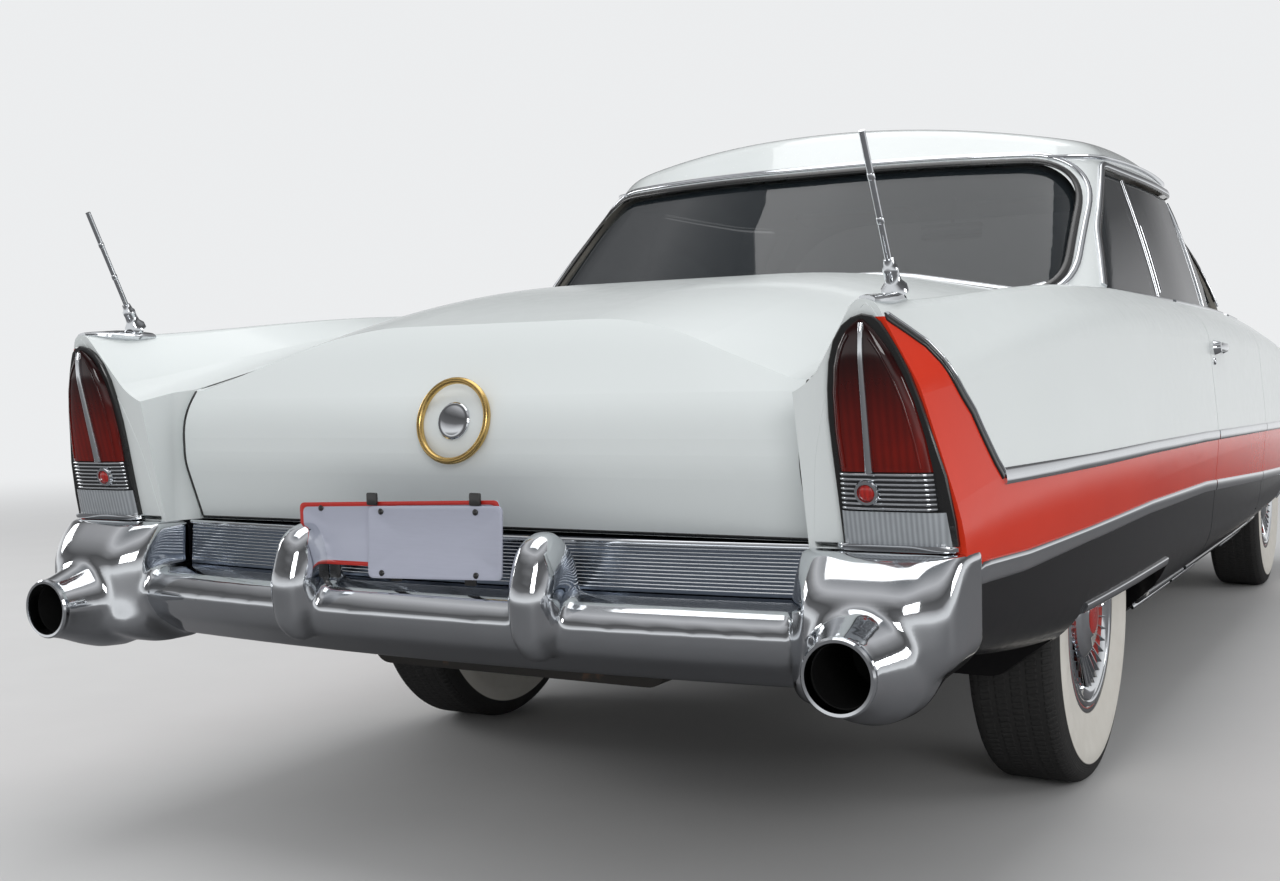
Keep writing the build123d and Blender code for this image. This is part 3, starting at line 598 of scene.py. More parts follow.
def runs(spots):
    """The unbroken stretches of a row of spots in which None marks a miss, with the facing evened out."""
    found, current = [], []
    for spot in list(spots) + [None]:
        if spot is None:
            if len(current) > 2:
                facings = [s[1] for s in current]
                smooth = [sum(facings[max(0, i - 2):i + 3], Vector()).normalized() for i in range(len(facings))]
                found.append([(s[0], n) for s, n in zip(current, smooth)])
            current = []
        else:
            current.append(spot)
    return found


def mirrored(paths):
    return [[(Vector((-p.x, p.y, p.z)), Vector((-n.x, n.y, n.z)), *rest) for p, n, *rest in path]
            for path in paths]


def both(paths):
    return paths + mirrored(paths)


def rounded(points, radii, step=0.02):
    """Points along a closed outline of straight runs and tangent arcs, drawn in two coordinates."""
    found = []
    corners = [Vector(p) for p in points]
    for i, corner in enumerate(corners):
        before, after = corners[i - 1] - corner, corners[(i + 1) % len(corners)] - corner
        u, v = before.normalized(), after.normalized()
        half = acos(max(-1.0, min(1.0, u.dot(v)))) / 2
        reach = min(radii[i] / tan(half), 0.47 * min(before.length, after.length))
        start, end = corner + u * reach, corner + v * reach
        count = max(2, round(reach * 2 / step))
        for k in range(count + 1):
            t = k / count
            found.append((start * (1 - t) ** 2 + corner * 2 * t * (1 - t) + end * t * t).copy())
    filled = []
    for a, b in zip(found, found[1:] + found[:1]):
        count = max(1, round((b - a).length / step))
        filled += [a.lerp(b, k / count) for k in range(count)]
    return filled


# Geometry Nodes recipes

class Recipe:
    """A Geometry Nodes tree being made. One method adds any node: its settings first, then its sockets."""

    def __init__(self, name, **inputs):
        self.tree = bpy.data.node_groups.new(name, "GeometryNodeTree")
        self.tree.is_modifier = True
        face = self.tree.interface
        face.new_socket("Geometry", in_out="INPUT", socket_type="NodeSocketGeometry")
        self.names = {label: face.new_socket(label, in_out="INPUT", socket_type="NodeSocket" + kind).identifier
                      for label, kind in inputs.items()}
        face.new_socket("Geometry", in_out="OUTPUT", socket_type="NodeSocketGeometry")
        self.given = self.tree.nodes.new("NodeGroupInput").outputs
        self.end = self.tree.nodes.new("NodeGroupOutput")

    def add(self, kind, settings=(), sockets=(), out=0):
        node = self.tree.nodes.new(kind)
        for setting, value in dict(settings).items():
            setattr(node, setting, value)
        for socket, value in dict(sockets).items():
            if isinstance(value, bpy.types.NodeSocket):
                self.tree.links.new(value, node.inputs[socket])
            else:
                node.inputs[socket].default_value = value
        return node.outputs[out]

    def maths(self, operation, *values):
        return self.add("ShaderNodeMath", {"operation": operation}, dict(enumerate(values)))

    def attribute(self, name, kind="FLOAT_VECTOR"):
        return self.add("GeometryNodeInputNamedAttribute", {"data_type": kind}, {"Name": name})

    def close(self, geometry):
        made = self.add("GeometryNodeRealizeInstances", {}, {0: geometry})
        made = self.add("GeometryNodeSetMaterial", {}, {"Geometry": made, "Material": self.given["Finish"]})
        self.tree.links.new(made, self.end.inputs[0])
        return self

    def make(self, name, mesh, **values):
        """The mesh that the recipe makes out of another one."""
        host = bpy.data.objects.new(name + "_host", mesh)
        bpy.context.scene.collection.objects.link(host)
        modifier = host.modifiers.new(self.tree.name, "NODES")
        modifier.node_group = self.tree
        for label, value in values.items():
            modifier[self.names[label]] = value
        shape = host.evaluated_get(bpy.context.evaluated_depsgraph_get())
        made = bpy.data.meshes.new_from_object(shape)
        bpy.data.objects.remove(host)
        return made


def moulding_recipe():
    """Sweeps a crowned strip along edges, with its crown turned to face_out and its size scaled by swell."""
    r = Recipe("moulding", Width="Float", Height="Float", Square="Float", Finish="Material")
    path = r.add("GeometryNodeMeshToCurve", {}, {0: r.given["Geometry"]})
    path = r.add("GeometryNodeSetCurveNormal", {"mode": "FREE"},
                 {"Curve": path, "Normal": r.attribute("face_out")})
    ring = r.add("GeometryNodeCurvePrimitiveCircle", {}, {"Resolution": 14, "Radius": 1.0})
    place = r.add("ShaderNodeSeparateXYZ", {}, {0: r.add("GeometryNodeInputPosition")}).node.outputs

    def squared(value, size):
        power = r.maths("POWER", r.maths("ABSOLUTE", value), r.given["Square"])
        return r.maths("MULTIPLY", r.maths("MULTIPLY", r.maths("SIGN", value), power), size)

    half = r.maths("MULTIPLY", r.given["Width"], 0.5)
    shaped = r.add("ShaderNodeCombineXYZ", {}, {0: squared(place[0], r.given["Height"]), 1: squared(place[1], half)})
    ring = r.add("GeometryNodeSetPosition", {}, {"Geometry": ring, "Position": shaped})
    strip = r.add("GeometryNodeCurveToMesh", {}, {"Curve": path, "Profile Curve": ring,
                                                  "Scale": r.attribute("swell", "FLOAT"), "Fill Caps": True})
    return r.close(strip)


def row_recipe():
    """Repeats a shape in a straight row."""
    r = Recipe("row", Count="Int", Step="Vector", Finish="Material")
    index = r.add("GeometryNodeInputIndex")
    place = r.add("ShaderNodeVectorMath", {"operation": "SCALE"}, {"Vector": r.given["Step"], "Scale": index})
    points = r.add("GeometryNodePoints", {}, {"Count": r.given["Count"], "Position": place})
    return r.close(r.add("GeometryNodeInstanceOnPoints", {}, {"Points": points, "Instance": r.given["Geometry"]}))


def circle_recipe():
    """Repeats a shape round the X axis."""
    r = Recipe("circle", Count="Int", Finish="Material")
    index = r.add("GeometryNodeInputIndex")
    turn = r.maths("DIVIDE", r.maths("MULTIPLY", index, 2 * pi), r.given["Count"])
    points = r.add("GeometryNodePoints", {}, {"Count": r.given["Count"]})
    angle = r.add("ShaderNodeCombineXYZ", {}, {0: turn})
    return r.close(r.add("GeometryNodeInstanceOnPoints", {}, {"Points": points, "Instance": r.given["Geometry"],
                                                              "Rotation": angle}))


mouldings, rows, circles = moulding_recipe(), row_recipe(), circle_recipe()


# Making pieces

def piece(name, mesh, body="car", finish=bright, sharp=40):
    """A finished object that rides on a body. Bright metal on the car itself, unless it says otherwise."""
    found = bpy.data.objects.new(name, mesh)
    bpy.context.scene.collection.objects.link(found)
    mesh.materials.clear()
    mesh.materials.append(finish)
    mesh.shade_smooth()
    mesh.set_sharp_from_angle(angle=radians(sharp))
    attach(found, body)
    return found


def path_mesh(paths, closed):
    mesh = bpy.data.meshes.new("paths")
    points, edges, facings, swells = [], [], [], []
    for path in paths:
        start = len(points)
        for p, n, *rest in path:
            points.append(p)
            facings.append(n)
            swells.append(rest[0] if rest else 1.0)
        edges += [(i, i + 1) for i in range(start, len(points) - 1)]
        if closed:
            edges.append((len(points) - 1, start))
    mesh.from_pydata(points, edges, [])
    mesh.attributes.new("face_out", "FLOAT_VECTOR", "POINT")
    mesh.attributes.new("swell", "FLOAT", "POINT")
    mesh.attributes["face_out"].data.foreach_set("vector", [c for n in facings for c in n])
    mesh.attributes["swell"].data.foreach_set("value", swells)
    return mesh


def moulding(name, body, paths, width, height, finish=bright, square=0.7, closed=False):
    """A strip of this width that stands this high over the surface along each path."""
    mesh = mouldings.make(name, path_mesh(paths, closed), Width=width, Height=height, Square=square, Finish=finish)
    return piece(name, mesh, body, finish)


def spun(profile, count=40, centre=(0, 0, 0), axis=(1, 0, 0)):
    """A closed shape turned about an axis. profile is (along, radius), from the axis and back to it or in a ring."""
    turn = Vector((1, 0, 0)).rotation_difference(Vector(axis)).to_matrix()
    points, faces, rings = [], [], []
    for along, radius in profile:
        if radius < 1e-6:
            rings.append([len(points)] * count)
            points.append(Vector((along, 0, 0)))
        else:
            rings.append(list(range(len(points), len(points) + count)))
            points += [Vector((along, radius * cos(2 * pi * k / count), radius * sin(2 * pi * k / count)))
                       for k in range(count)]
    whole = profile[0][1] > 1e-6
    pairs = list(zip(rings, rings[1:])) + ([(rings[-1], rings[0])] if whole else [])
    for a, b in pairs:
        for k in range(count):
            j = (k + 1) % count
            corners = list(dict.fromkeys((a[k], b[k], b[j], a[j])))
            if len(corners) > 2:
                faces.append(corners)
    mesh = bpy.data.meshes.new("spun")
    mesh.from_pydata([turn @ p + Vector(centre) for p in points], [], faces)
    return outward(mesh)


def outward(mesh):
    """Joins doubled points and turns every face outward."""
    work = bmesh.new()
    work.from_mesh(mesh)
    bmesh.ops.remove_doubles(work, verts=work.verts, dist=0.00005)
    bmesh.ops.recalc_face_normals(work, faces=work.faces)
    work.to_mesh(mesh)
    work.free()
    return mesh


def joined(*meshes):
    work = bmesh.new()
    for mesh in meshes:
        work.from_mesh(mesh)
    found = bpy.data.meshes.new("joined")
    work.to_mesh(found)
    work.free()
    return found


def shifted(mesh, matrix):
    found = mesh.copy()
    found.transform(matrix)
    return outward(found)


def flipped(mesh):
    """The same shape on the car's other side."""
    return shifted(mesh, Matrix.Diagonal((-1, 1, 1, 1)))


def plate(outline, thickness, bevel, to_place):
    """A flat piece with rounded edges. outline is in two coordinates, and to_place puts it in the car."""
    work = bmesh.new()
    face = work.faces.new([work.verts.new((p[0], p[1], 0)) for p in outline])
    grown = bmesh.ops.extrude_face_region(work, geom=[face])["geom"]
    bmesh.ops.translate(work, verts=[g for g in grown if isinstance(g, bmesh.types.BMVert)], vec=(0, 0, thickness))
    bmesh.ops.recalc_face_normals(work, faces=work.faces)
    rim = [e for e in work.edges if e.is_boundary is False and len(e.link_faces) == 2
           and e.link_faces[0].normal.dot(e.link_faces[1].normal) < 0.3
           and all(v.co.z > thickness / 2 for v in e.verts)]
    if bevel:
        bmesh.ops.bevel(work, geom=rim, offset=bevel, segments=3, affect="EDGES", profile=0.5)
    found = bpy.data.meshes.new("plate")
    work.to_mesh(found)
    work.free()
    found.transform(to_place)
    return outward(found)


def box_points(half_x, half_y):
    return [(-half_x, -half_y), (half_x, -half_y), (half_x, half_y), (-half_x, half_y)]


def facing(place, out, up=(0, 0, 1)):
    """A placing whose Z points out and whose Y points up."""
    out = Vector(out).normalized()
    right = Vector(up).cross(out).normalized()
    return Matrix.Translation(Vector(place)) @ Matrix((right, out.cross(right), out)).transposed().to_4x4()


# Bright strips along the sides

door_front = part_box("door_left")[0].y
side_panels = [("front_fenders", "car", -2.60, door_front - 0.006), ("door_left", "door", door_front + 0.002, 0.395),
               ("rear_body", "car", 0.408, 2.66)]


def bodies_of(kind):
    """The left and right bodies of a side panel."""
    return ("door_left", "door_right") if kind == "door" else (kind, kind)


def side_strip(name, height_at, width, height, first, last, square=0.6, swell_at=None):
    """A bright strip that follows both sides at a height for each y, cut at the door's gaps."""
    for node, kind, low, high in side_panels:
        low, high = max(low, first), min(high, last)
        if high - low < 0.05:
            continue
        spots = [(from_side(node, y, height_at(y))) for y in steps(low, high, 0.03)]
        paths = [[(p, n, swell_at(p.y) if swell_at else 1.0) for p, n in run] for run in runs(spots)]
        if not paths:
            continue
        left, right = bodies_of(kind)
        if left == right:
            moulding(f"{name}_{node}", left, both(paths), width, height, square=square)
        else:
            moulding(f"{name}_{left}", left, paths, width, height, square=square)
            moulding(f"{name}_{right}", right, mirrored(paths), width, height, square=square)


def on_break(points, y):
    """The second coordinate of a run of straight pieces where the first is y."""
    for (y0, z0), (y1, z1) in zip(points, points[1:]):
        if y <= y1:
            break
    return z0 + (z1 - z0) * max(0.0, min(1.0, (y - y0) / (y1 - y0)))


def spear(y):
    """The lower strip's rear end swells and then rounds off."""
    end = max(0.0, (y - 2.494) / 0.040)
    return (1.0 + 0.22 * max(0.0, min(1.0, (y - 1.9) / 0.4))) * max(0.12, 1 - end * end) ** 0.5


fin_corner_y = fin_line[0][0]
side_strip("upper_strip", lambda y: on_break(upper_break, y), 0.027, 0.005, first=-2.45, last=fin_corner_y - 0.004)
side_strip("lower_strip", lambda y: on_break(lower_break, y), 0.029, 0.0055, first=-2.45, last=2.534, swell_at=spear)
side_strip("rocker_strip", lambda y: 0.330 + 0.012 * y, 0.044, 0.007, first=-1.36, last=0.93)
side_strip("rocker_bead", lambda y: 0.306 + 0.012 * y, 0.010, 0.010, first=-1.36, last=0.93, square=1.0)

# The fin's outer edge: a black line with a bright bead outside it, up to the cap under the antenna
fin_points = [Vector(p) for p in fin_line]
fin_run = [a.lerp(b, k / 4) for a, b in zip(fin_points, fin_points[1:]) for k in range(4)] + [fin_points[-1]]


def fin_path(back, up):
    return runs([from_side("rear_body", p.x - back, p.y + up) for p in fin_run])


moulding("fin_black_line", "car", both(fin_path(0.000, 0)), 0.013, 0.0035, rubber_and_painted_shade, 0.7)
moulding("fin_bright_bead", "car", both(fin_path(0.010, 0.004)), 0.007, 0.005, square=1.0)

# Under the side: the skirt's lip and the arch lips
skirt_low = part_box("fender_skirts")[0].z
skirt_path = runs([from_side("fender_skirts", y, skirt_low + 0.012) for y in steps(1.02, 1.84, 0.03)])
moulding("skirt_lip", "car", both(skirt_path), 0.022, 0.006)
arch_radius = 0.432
arch_path = runs([from_side("front_fenders", axle_y["front"] + arch_radius * cos(a), wheel_z + arch_radius * sin(a))
                  for a in steps(radians(4), radians(176), 0.05)])
moulding("front_arch_lip", "car", both(arch_path), 0.012, 0.006, square=1.0)


# Window surrounds

side_window = rounded([(-0.563, 1.020), (-0.392, 1.440), (0.640, 1.436), (0.875, 1.250), (1.075, 1.020)],
                      [0.001, 0.040, 0.060, 0.400, 0.001])
backlight = rounded([(-0.742, 1.092), (-0.708, 1.442), (0.708, 1.442), (0.742, 1.092)], [0.08, 0.15, 0.15, 0.08])


def outside(points, gap):
    """The same closed outline, moved outward from its middle by a small gap."""
    middle = sum(points, Vector((0, 0))) / len(points)
    found = []
    for before, p, after in zip(points[-1:] + points[:-1], points, points[1:] + points[:1]):
        along = (after - before).normalized()
        out = Vector((along.y, -along.x))
        found.append(p + out * gap * (1 if out.dot(p - middle) > 0 else -1))
    return found


def around_side(gap):
    found = []
    for p in outside(side_window, gap):
        spot = from_side("roof", p.x, p.y) if p.y > 1.10 else None
        found.append(spot if spot and spot[0].x > 0.40 else None)
    turn = found.index(None)
    return runs(found[turn:] + found[:turn])


moulding("side_window_reveal", "car", both(around_side(0.010)), 0.018, 0.007, square=0.6)
moulding("side_window_seal", "car", both(around_side(0.001)), 0.008, 0.004, rubber_and_painted_shade, 1.0)
rail_path = runs([from_side("roof", y, 1.478 - 0.02 * ((y - 0.1) / 0.6) ** 2) for y in steps(-0.42, 0.80, 0.03)])
moulding("drip_rail", "car", both(rail_path), 0.010, 0.012, square=1.0)


def around_back(gap):
    found = [from_behind("roof", p.x, p.y) for p in outside(backlight, gap)]
    found = [s if s and s[0].y > 0.6 else None for s in found]
    turn = found.index(None) if None in found else 0
    return runs(found[turn:] + found[:turn])


moulding("rear_window_seal", "car", around_back(0.003), 0.020, 0.006, rubber_and_painted_shade, 0.8)
moulding("rear_window_reveal", "car", around_back(0.021), 0.017, 0.007, square=0.6)


def foot_line(glass_name, below, look, across, low, high):
    """Where a window meets the panel under it."""
    found = []
    for x in across:
        spot = None
        for z in steps(low, high, 0.003):
            on_glass = look(glass_name, x, z)
            under = from_above(below, x, on_glass[0].y) if on_glass else None
            if under and under[0].z <= z:
                spot = (on_glass[0], (on_glass[1] + under[1]).normalized())
                break
        found.append(spot)
    return runs(found)


rear_foot = foot_line("rear_window", "rear_body", from_behind, steps(-0.70, 0.70, 0.05), 1.085, 1.20)
moulding("rear_window_foot", "car", rear_foot, 0.026, 0.006, square=0.7)
front_foot = foot_line("windshield", "cowl", from_ahead, steps(-0.76, 0.76, 0.05), 1.03, 1.16)
moulding("windscreen_foot", "car", front_foot, 0.026, 0.008, rubber_and_painted_shade, 0.7)
screen_top = runs([from_ahead("roof", x, 1.458) for x in steps(-0.56, 0.56, 0.04)])
moulding("windscreen_header", "car", screen_top, 0.018, 0.006, square=0.6)


# Belt moulding under the side windows

def belt_x(y):
    if y > 0.1:
        return 0.868 - (y - 0.1) * 0.029
    return 0.868 - (0.1 - y) * 0.010


belt_panels = [("front_fenders", "car", -0.86, door_front - 0.007), ("door_left", "door", -0.505, 0.392),
               ("rear_body", "car", 0.409, 1.20)]
for node, kind, low, high in belt_panels:
    found = runs([from_above(node, belt_x(y), y) for y in steps(low, high, 0.03)])
    swell = [[(p, n, 1.0 if p.y < 1.1 else max(0.25, 1 - ((p.y - 1.1) / 0.1) ** 2)) for p, n in run] for run in found]
    left, right = bodies_of(kind)
    if left == right:
        moulding(f"belt_{node}", left, both(swell), 0.022, 0.007, square=0.7)
    else:
        moulding(f"belt_{left}", left, swell, 0.022, 0.007, square=0.7)
        moulding(f"belt_{right}", right, mirrored(swell), 0.022, 0.007, square=0.7)


# Door glass frames and the vent pane's posts
def on_glass(name, points):
    return runs([from_side(name, y, z) for y, z in points])


glass_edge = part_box("door_glass_left")
posts = on_glass("door_glass_left", [(-0.300 + 0.06 * t, 1.085 + 0.335 * t) for t in steps(0, 1, 0.05)])
rear_posts = on_glass("door_glass_left", [(glass_edge[1].y - 0.012, z) for z in steps(1.08, 1.424, 0.03)])
for side, body in (("left", "door_left"), ("right", "door_right")):
    turned = (lambda paths: paths) if side == "left" else mirrored
    moulding(f"vent_post_{side}", body, turned(posts), 0.014, 0.006)
    moulding(f"door_glass_frame_{side}", body, turned(rear_posts), 0.016, 0.006)
quarter_front = on_glass("quarter_windows", [(0.412, z) for z in steps(1.085, 1.425, 0.03)])
moulding("quarter_frame", "car", both(quarter_front), 0.014, 0.006)


# Tail lamps, drawn on the slanted end of the fin as (x, z), with how far each stands proud of it

def fin_end(x, z, proud):
    return Vector((x, lamp_foot_y + (z - lamp_foot_z) * lamp_lean + proud, z))


rim_outline = [(0.939, 0.650), (0.937, 0.690), (0.928, 0.757), (0.914, 0.811), (0.901, 0.865), (0.888, 0.907),
               (0.872, 0.942), (0.858, 0.969), (0.849, 0.984), (0.838, 0.993), (0.823, 0.996), (0.806, 0.991),
               (0.790, 0.980), (0.775, 0.959), (0.764, 0.927), (0.758, 0.888), (0.755, 0.844), (0.756, 0.788),
               (0.758, 0.731), (0.760, 0.650)]
lens_left = [(0.764, 0.768), (0.820, 0.765), (0.880, 0.767), (0.920, 0.773), (0.950, 0.783), (0.968, 0.794),
             (0.980, 0.806), (0.987, 0.818)]
lens_right = [(0.764, 0.911), (0.811, 0.904), (0.865, 0.892), (0.905, 0.879), (0.940, 0.863), (0.958, 0.851),
              (0.972, 0.841), (0.982, 0.832), (0.987, 0.826)]


def lens_row(z):
    return z, on_break(lens_left, z), on_break(lens_right, z)


def crowned(rows, base, crown, back, count=24):
    """A closed block on the fin's end whose front swells between its sides. rows are (z, left, right)."""
    points, faces = [], []
    for z, left, right in rows:
        for k in range(count + 1):
            u = k / count
            x = left + (right - left) * u
            swell = (1 - (2 * u - 1) ** 4) ** 0.5 * min(1.0, (right - left) / 0.09)
            points.append(fin_end(x, z, base + (crown - base) * swell))
        points += [fin_end(right, z, back), fin_end(left, z, back)]
    ring = count + 3
    for r in range(len(rows) - 1):
        for k in range(ring):
            j = (k + 1) % ring
            faces.append((r * ring + k, r * ring + j, (r + 1) * ring + j, (r + 1) * ring + k))
    faces += [tuple(range(ring)), tuple((len(rows) - 1) * ring + k for k in range(ring))]
    mesh = bpy.data.meshes.new("crowned")
    mesh.from_pydata(points, [], faces)
    return outward(mesh)


def on_lamp(outline, low, high):
    """A flat plate on the fin's end between two distances proud of it."""
    points = [fin_end(x, z, high) for x, z in outline] + [fin_end(x, z, high - 0.002) for x, z in outline]
    middle = sum((Vector(p) for p in outline), Vector((0, 0))) / len(outline)
    inset = [Vector(p) + (middle - Vector(p)).normalized() * 0.002 for p in outline]
    points[:len(outline)] = [fin_end(p.x, p.y, high) for p in inset]
    points += [fin_end(x, z, low) for x, z in outline]
    n = len(outline)
    faces = [tuple(range(n)), tuple(range(2 * n, 3 * n))]
    for base in (0, n):
        faces += [(base + k, base + (k + 1) % n, base + n + (k + 1) % n, base + n + k) for k in range(n)]
    mesh = bpy.data.meshes.new("on_lamp")
    mesh.from_pydata(points, [], faces)
    return outward(mesh)


def pair(mesh):
    return joined(mesh, flipped(mesh))


pocket = rounded([(0.943, 0.635), (0.898, 0.872), (0.863, 0.960), (0.829, 1.020), (0.792, 0.962), (0.747, 0.872),
                  (0.722, 0.780), (0.706, 0.635)], [0.014, 0.3, 0.3, 0.010, 0.3, 0.3, 0.3, 0.014])
pocket = [p for p in pocket if p.y > 0.6439]
piece("fin_end_panels", pair(on_lamp(pocket, -0.008, 0.0009)), "car", enamel)
rim = piece("lamp_rims", pair(on_lamp(rim_outline, -0.050, 0.0100)), "car", rubber_and_painted_shade)
lens_mesh = crowned([lens_row(z) for z in steps(0.764, 0.987, 0.006)], 0.011, 0.027, -0.040)
lenses = piece("tail_lamp_lenses", pair(lens_mesh), "car", lens)
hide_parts("tail_lamps")
# The band under the bright ribs, near-black as painted shade in the grooves
band_mesh = crowned([(z, 0.767 - (0.763 - z) * 0.02, 0.912 + (0.763 - z) * 0.05) for z in steps(0.706, 0.763, 0.004)],
                    0.010, 0.026, -0.040)
bands = piece("lamp_bands", pair(band_mesh), "car", band_groove_painted_shade)
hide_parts("tail_lamp_housings")
clear_mesh = crowned([(z, 0.763, 0.925 + (0.704 - z) * 0.10) for z in steps(0.654, 0.704, 0.005)], 0.010, 0.024,
                     -0.040)
clears = piece("reversing_lamp_lenses", pair(clear_mesh), "car", frosted)
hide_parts("reversing_lamps")
foot_mesh = crowned([(z, 0.752 + s, 0.940 - s) for z, s in ((0.644, 0.003), (0.646, 0), (0.652, 0), (0.654, 0.003))],
                    0.014, 0.031, -0.030)
piece("lamp_feet", pair(foot_mesh))
lamp_skin = {"lens": lens_mesh, "band": band_mesh, "clear": clear_mesh}
for label, mesh in lamp_skin.items():
    skins[label] = BVHTree.FromPolygons([v.co for v in mesh.vertices], [tuple(f.vertices) for f in mesh.polygons])


def lamp_line(label, points):
    return runs([from_behind(label, x, z) for x, z in points])


spine = [[(p, n, 1.25 - 0.55 * (p.z - 0.764) / 0.22) for p, n in run]
         for run in lamp_line("lens", [(0.820 + 0.004 * t, 0.7645 + 0.2175 * t) for t in steps(0, 1, 0.05)])]
moulding("lamp_spine", "car", both(spine), 0.011, 0.009, square=0.9)
ribs = []
for k in range(8):
    z = 0.7602 - 0.0073 * k
    ribs += lamp_line("band", [(x, z) for x in steps(0.7685, 0.9105 + 0.0003 * k, 0.006)])
moulding("lamp_ribs", "car", both(ribs), 0.0042, 0.0028, square=0.8)
inner_lines = lamp_line("lens", [(on_break(lens_left, z) + 0.012, z) for z in steps(0.770, 0.965, 0.012)]) \
    + lamp_line("lens", [(on_break(lens_right, z) - 0.014, z) for z in steps(0.770, 0.960, 0.012)])
moulding("lens_ridges", "car", both(inner_lines), 0.004, 0.0022, lens, 1.0)
spot, out = from_behind("band", 0.8125, 0.7335)
bezel_mesh = spun([(-0.006, 0.0), (-0.006, 0.0195), (0.004, 0.0200), (0.0075, 0.0180), (0.0075, 0.0140),
                   (0.0040, 0.0128), (0.0040, 0.0)], 36, spot, out)
piece("reflector_bezels", pair(bezel_mesh))
curve = [(0.0042 + 0.0042 * sin(a), 0.0124 * cos(a)) for a in steps(0, pi / 2, 0.22)]
dome = [(0.0042, 0.0), (0.0042, 0.0126)] + curve[:-1] + [(0.0084, 0.0)]
piece("reflectors", pair(spun(dome, 30, spot, out)), "car", reflector_red)

# Bright cap over the fin's tip, under the antenna
cap_path = runs([from_above("rear_body", 0.829 - 0.010 * t, 2.656 - 0.175 * t) for t in steps(0, 1, 0.06)])
cap_path = [[(p, n, 0.40 + 0.60 * sin(pi * min(1.0, max(0.0, (2.664 - p.y) / 0.185)))) for p, n in run]
            for run in cap_path]
moulding("fin_caps", "car", both(cap_path), 0.052, 0.010, square=0.8)


# Rear bumper with its ports and guards, the ribbed insert, the lid's medallion and the plates

insert_ribs = []
for k in range(12):
    insert_ribs += runs([from_behind("rear_grille", x, 0.5605 + 0.0061 * k) for x in steps(-0.676, 0.676, 0.022)])
moulding("insert_ribs", "car", insert_ribs, 0.0030, 0.0030, square=1.0)
ledge = runs([from_behind("rear_grille", x, 0.6335) for x in steps(-0.678, 0.678, 0.022)])
moulding("insert_ledge", "car", ledge, 0.0080, 0.010, square=0.7)

# The bumper: blade, end blocks, ports and guards melted into one rolled shell
port_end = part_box("rear_bumper")[1].y


def layered(rows):
    """A closed shape through outlines that have the same number of points."""
    count = len(rows[0])
    points = [p for row in rows for p in row]
    faces = [tuple(range(count)), tuple((len(rows) - 1) * count + k for k in range(count))]
    for r in range(len(rows) - 1):
        faces += [(r * count + k, r * count + (k + 1) % count, (r + 1) * count + (k + 1) % count,
                   (r + 1) * count + k) for k in range(count)]
    mesh = bpy.data.meshes.new("layered")
    mesh.from_pydata(points, [], faces)
    return outward(mesh)


def along_car(mesh, x, z):
    """A mesh made about the X axis, turned to point to the rear."""
    return shifted(mesh, Matrix(((0, 1, 0, x), (1, 0, 0, 0), (0, 0, 1, z), (0, 0, 0, 1))))


blade_outline = rounded([(2.500, 0.552), (2.628, 0.552), (2.668, 0.543), (2.692, 0.505), (2.670, 0.462),
                         (2.600, 0.414), (2.500, 0.414)], [0.002, 0.02, 0.03, 0.04, 0.05, 0.03, 0.002], 0.012)
blade_bow = 5.140
blade_rows = [[(x, p.x - blade_bow + (blade_bow ** 2 - x * x) ** 0.5, p.y) for p in blade_outline]
              for x in steps(-0.740, 0.740, 0.04)]
block_plan = rounded([(0.690, 2.505), (0.692, 2.640), (0.736, 2.692), (0.886, 2.692), (0.946, 2.648), (0.952, 2.590),
                      (0.952, 2.505)], [0.002, 0.04, 0.06, 0.08, 0.05, 0.004, 0.002], 0.012)
block_rows = []
for z in steps(0.400, 0.6425, 0.014):
    back = 1 - 0.34 * max(0.0, (z - 0.550) / 0.093) ** 2 - 0.5 * max(0.0, (0.450 - z) / 0.050) ** 2
    # The block's foot rises from the port to its outer side
    reach = on_break([(0.400, 0.800), (0.424, 0.855), (0.445, 0.900), (0.478, 0.938), (0.502, 0.952)], z)
    block_rows.append([(min(p.x, 0.690 + (p.x - 0.690) * (reach - 0.690) / 0.262), 2.505 + (p.y - 2.505) * back, z)
                       for p in block_plan])
port_body = along_car(spun([(2.52, 0.0), (2.52, 0.085), (2.600, 0.098), (2.650, 0.094), (2.690, 0.082),
                            (2.725, 0.068), (2.750, 0.060), (port_end - 0.002, port_outer),
                            (port_end - 0.002, 0.0)], 64), port_x, port_z)
guard_side = rounded([(2.575, 0.548), (2.590, 0.622), (2.640, 0.664), (2.700, 0.648), (2.732, 0.560), (2.722, 0.480),
                      (2.680, 0.440), (2.610, 0.470)], [0.005, 0.06, 0.04, 0.06, 0.09, 0.06, 0.04, 0.01], 0.012)


def guard(x):
    middle = sum(guard_side, Vector((0, 0))) / len(guard_side)
    rows_made = []
    for t in steps(-1, 1, 0.125):
        size = (1 - abs(t) ** 3.2 * 0.55)
        rows_made.append([(x + 0.043 * t, *(middle + (p - middle) * size)) for p in guard_side])
    return layered(rows_made)


parts = joined(layered(blade_rows), pair(layered(block_rows)), pair(port_body), guard(0.257), guard(-0.257))


def melted(mesh, voxel, rounds):
    """One skin round shapes that overlap, with its inner corners eased."""
    host = bpy.data.objects.new("melted", mesh)
    bpy.context.scene.collection.objects.link(host)
    fine = host.modifiers.new("fine", "REMESH")
    fine.mode, fine.voxel_size = "VOXEL", voxel
    ease = host.modifiers.new("ease", "SMOOTH")
    ease.factor, ease.iterations = 0.5, rounds
    found = bpy.data.meshes.new_from_object(host.evaluated_get(bpy.context.evaluated_depsgraph_get()))
    bpy.data.objects.remove(host)
    return found


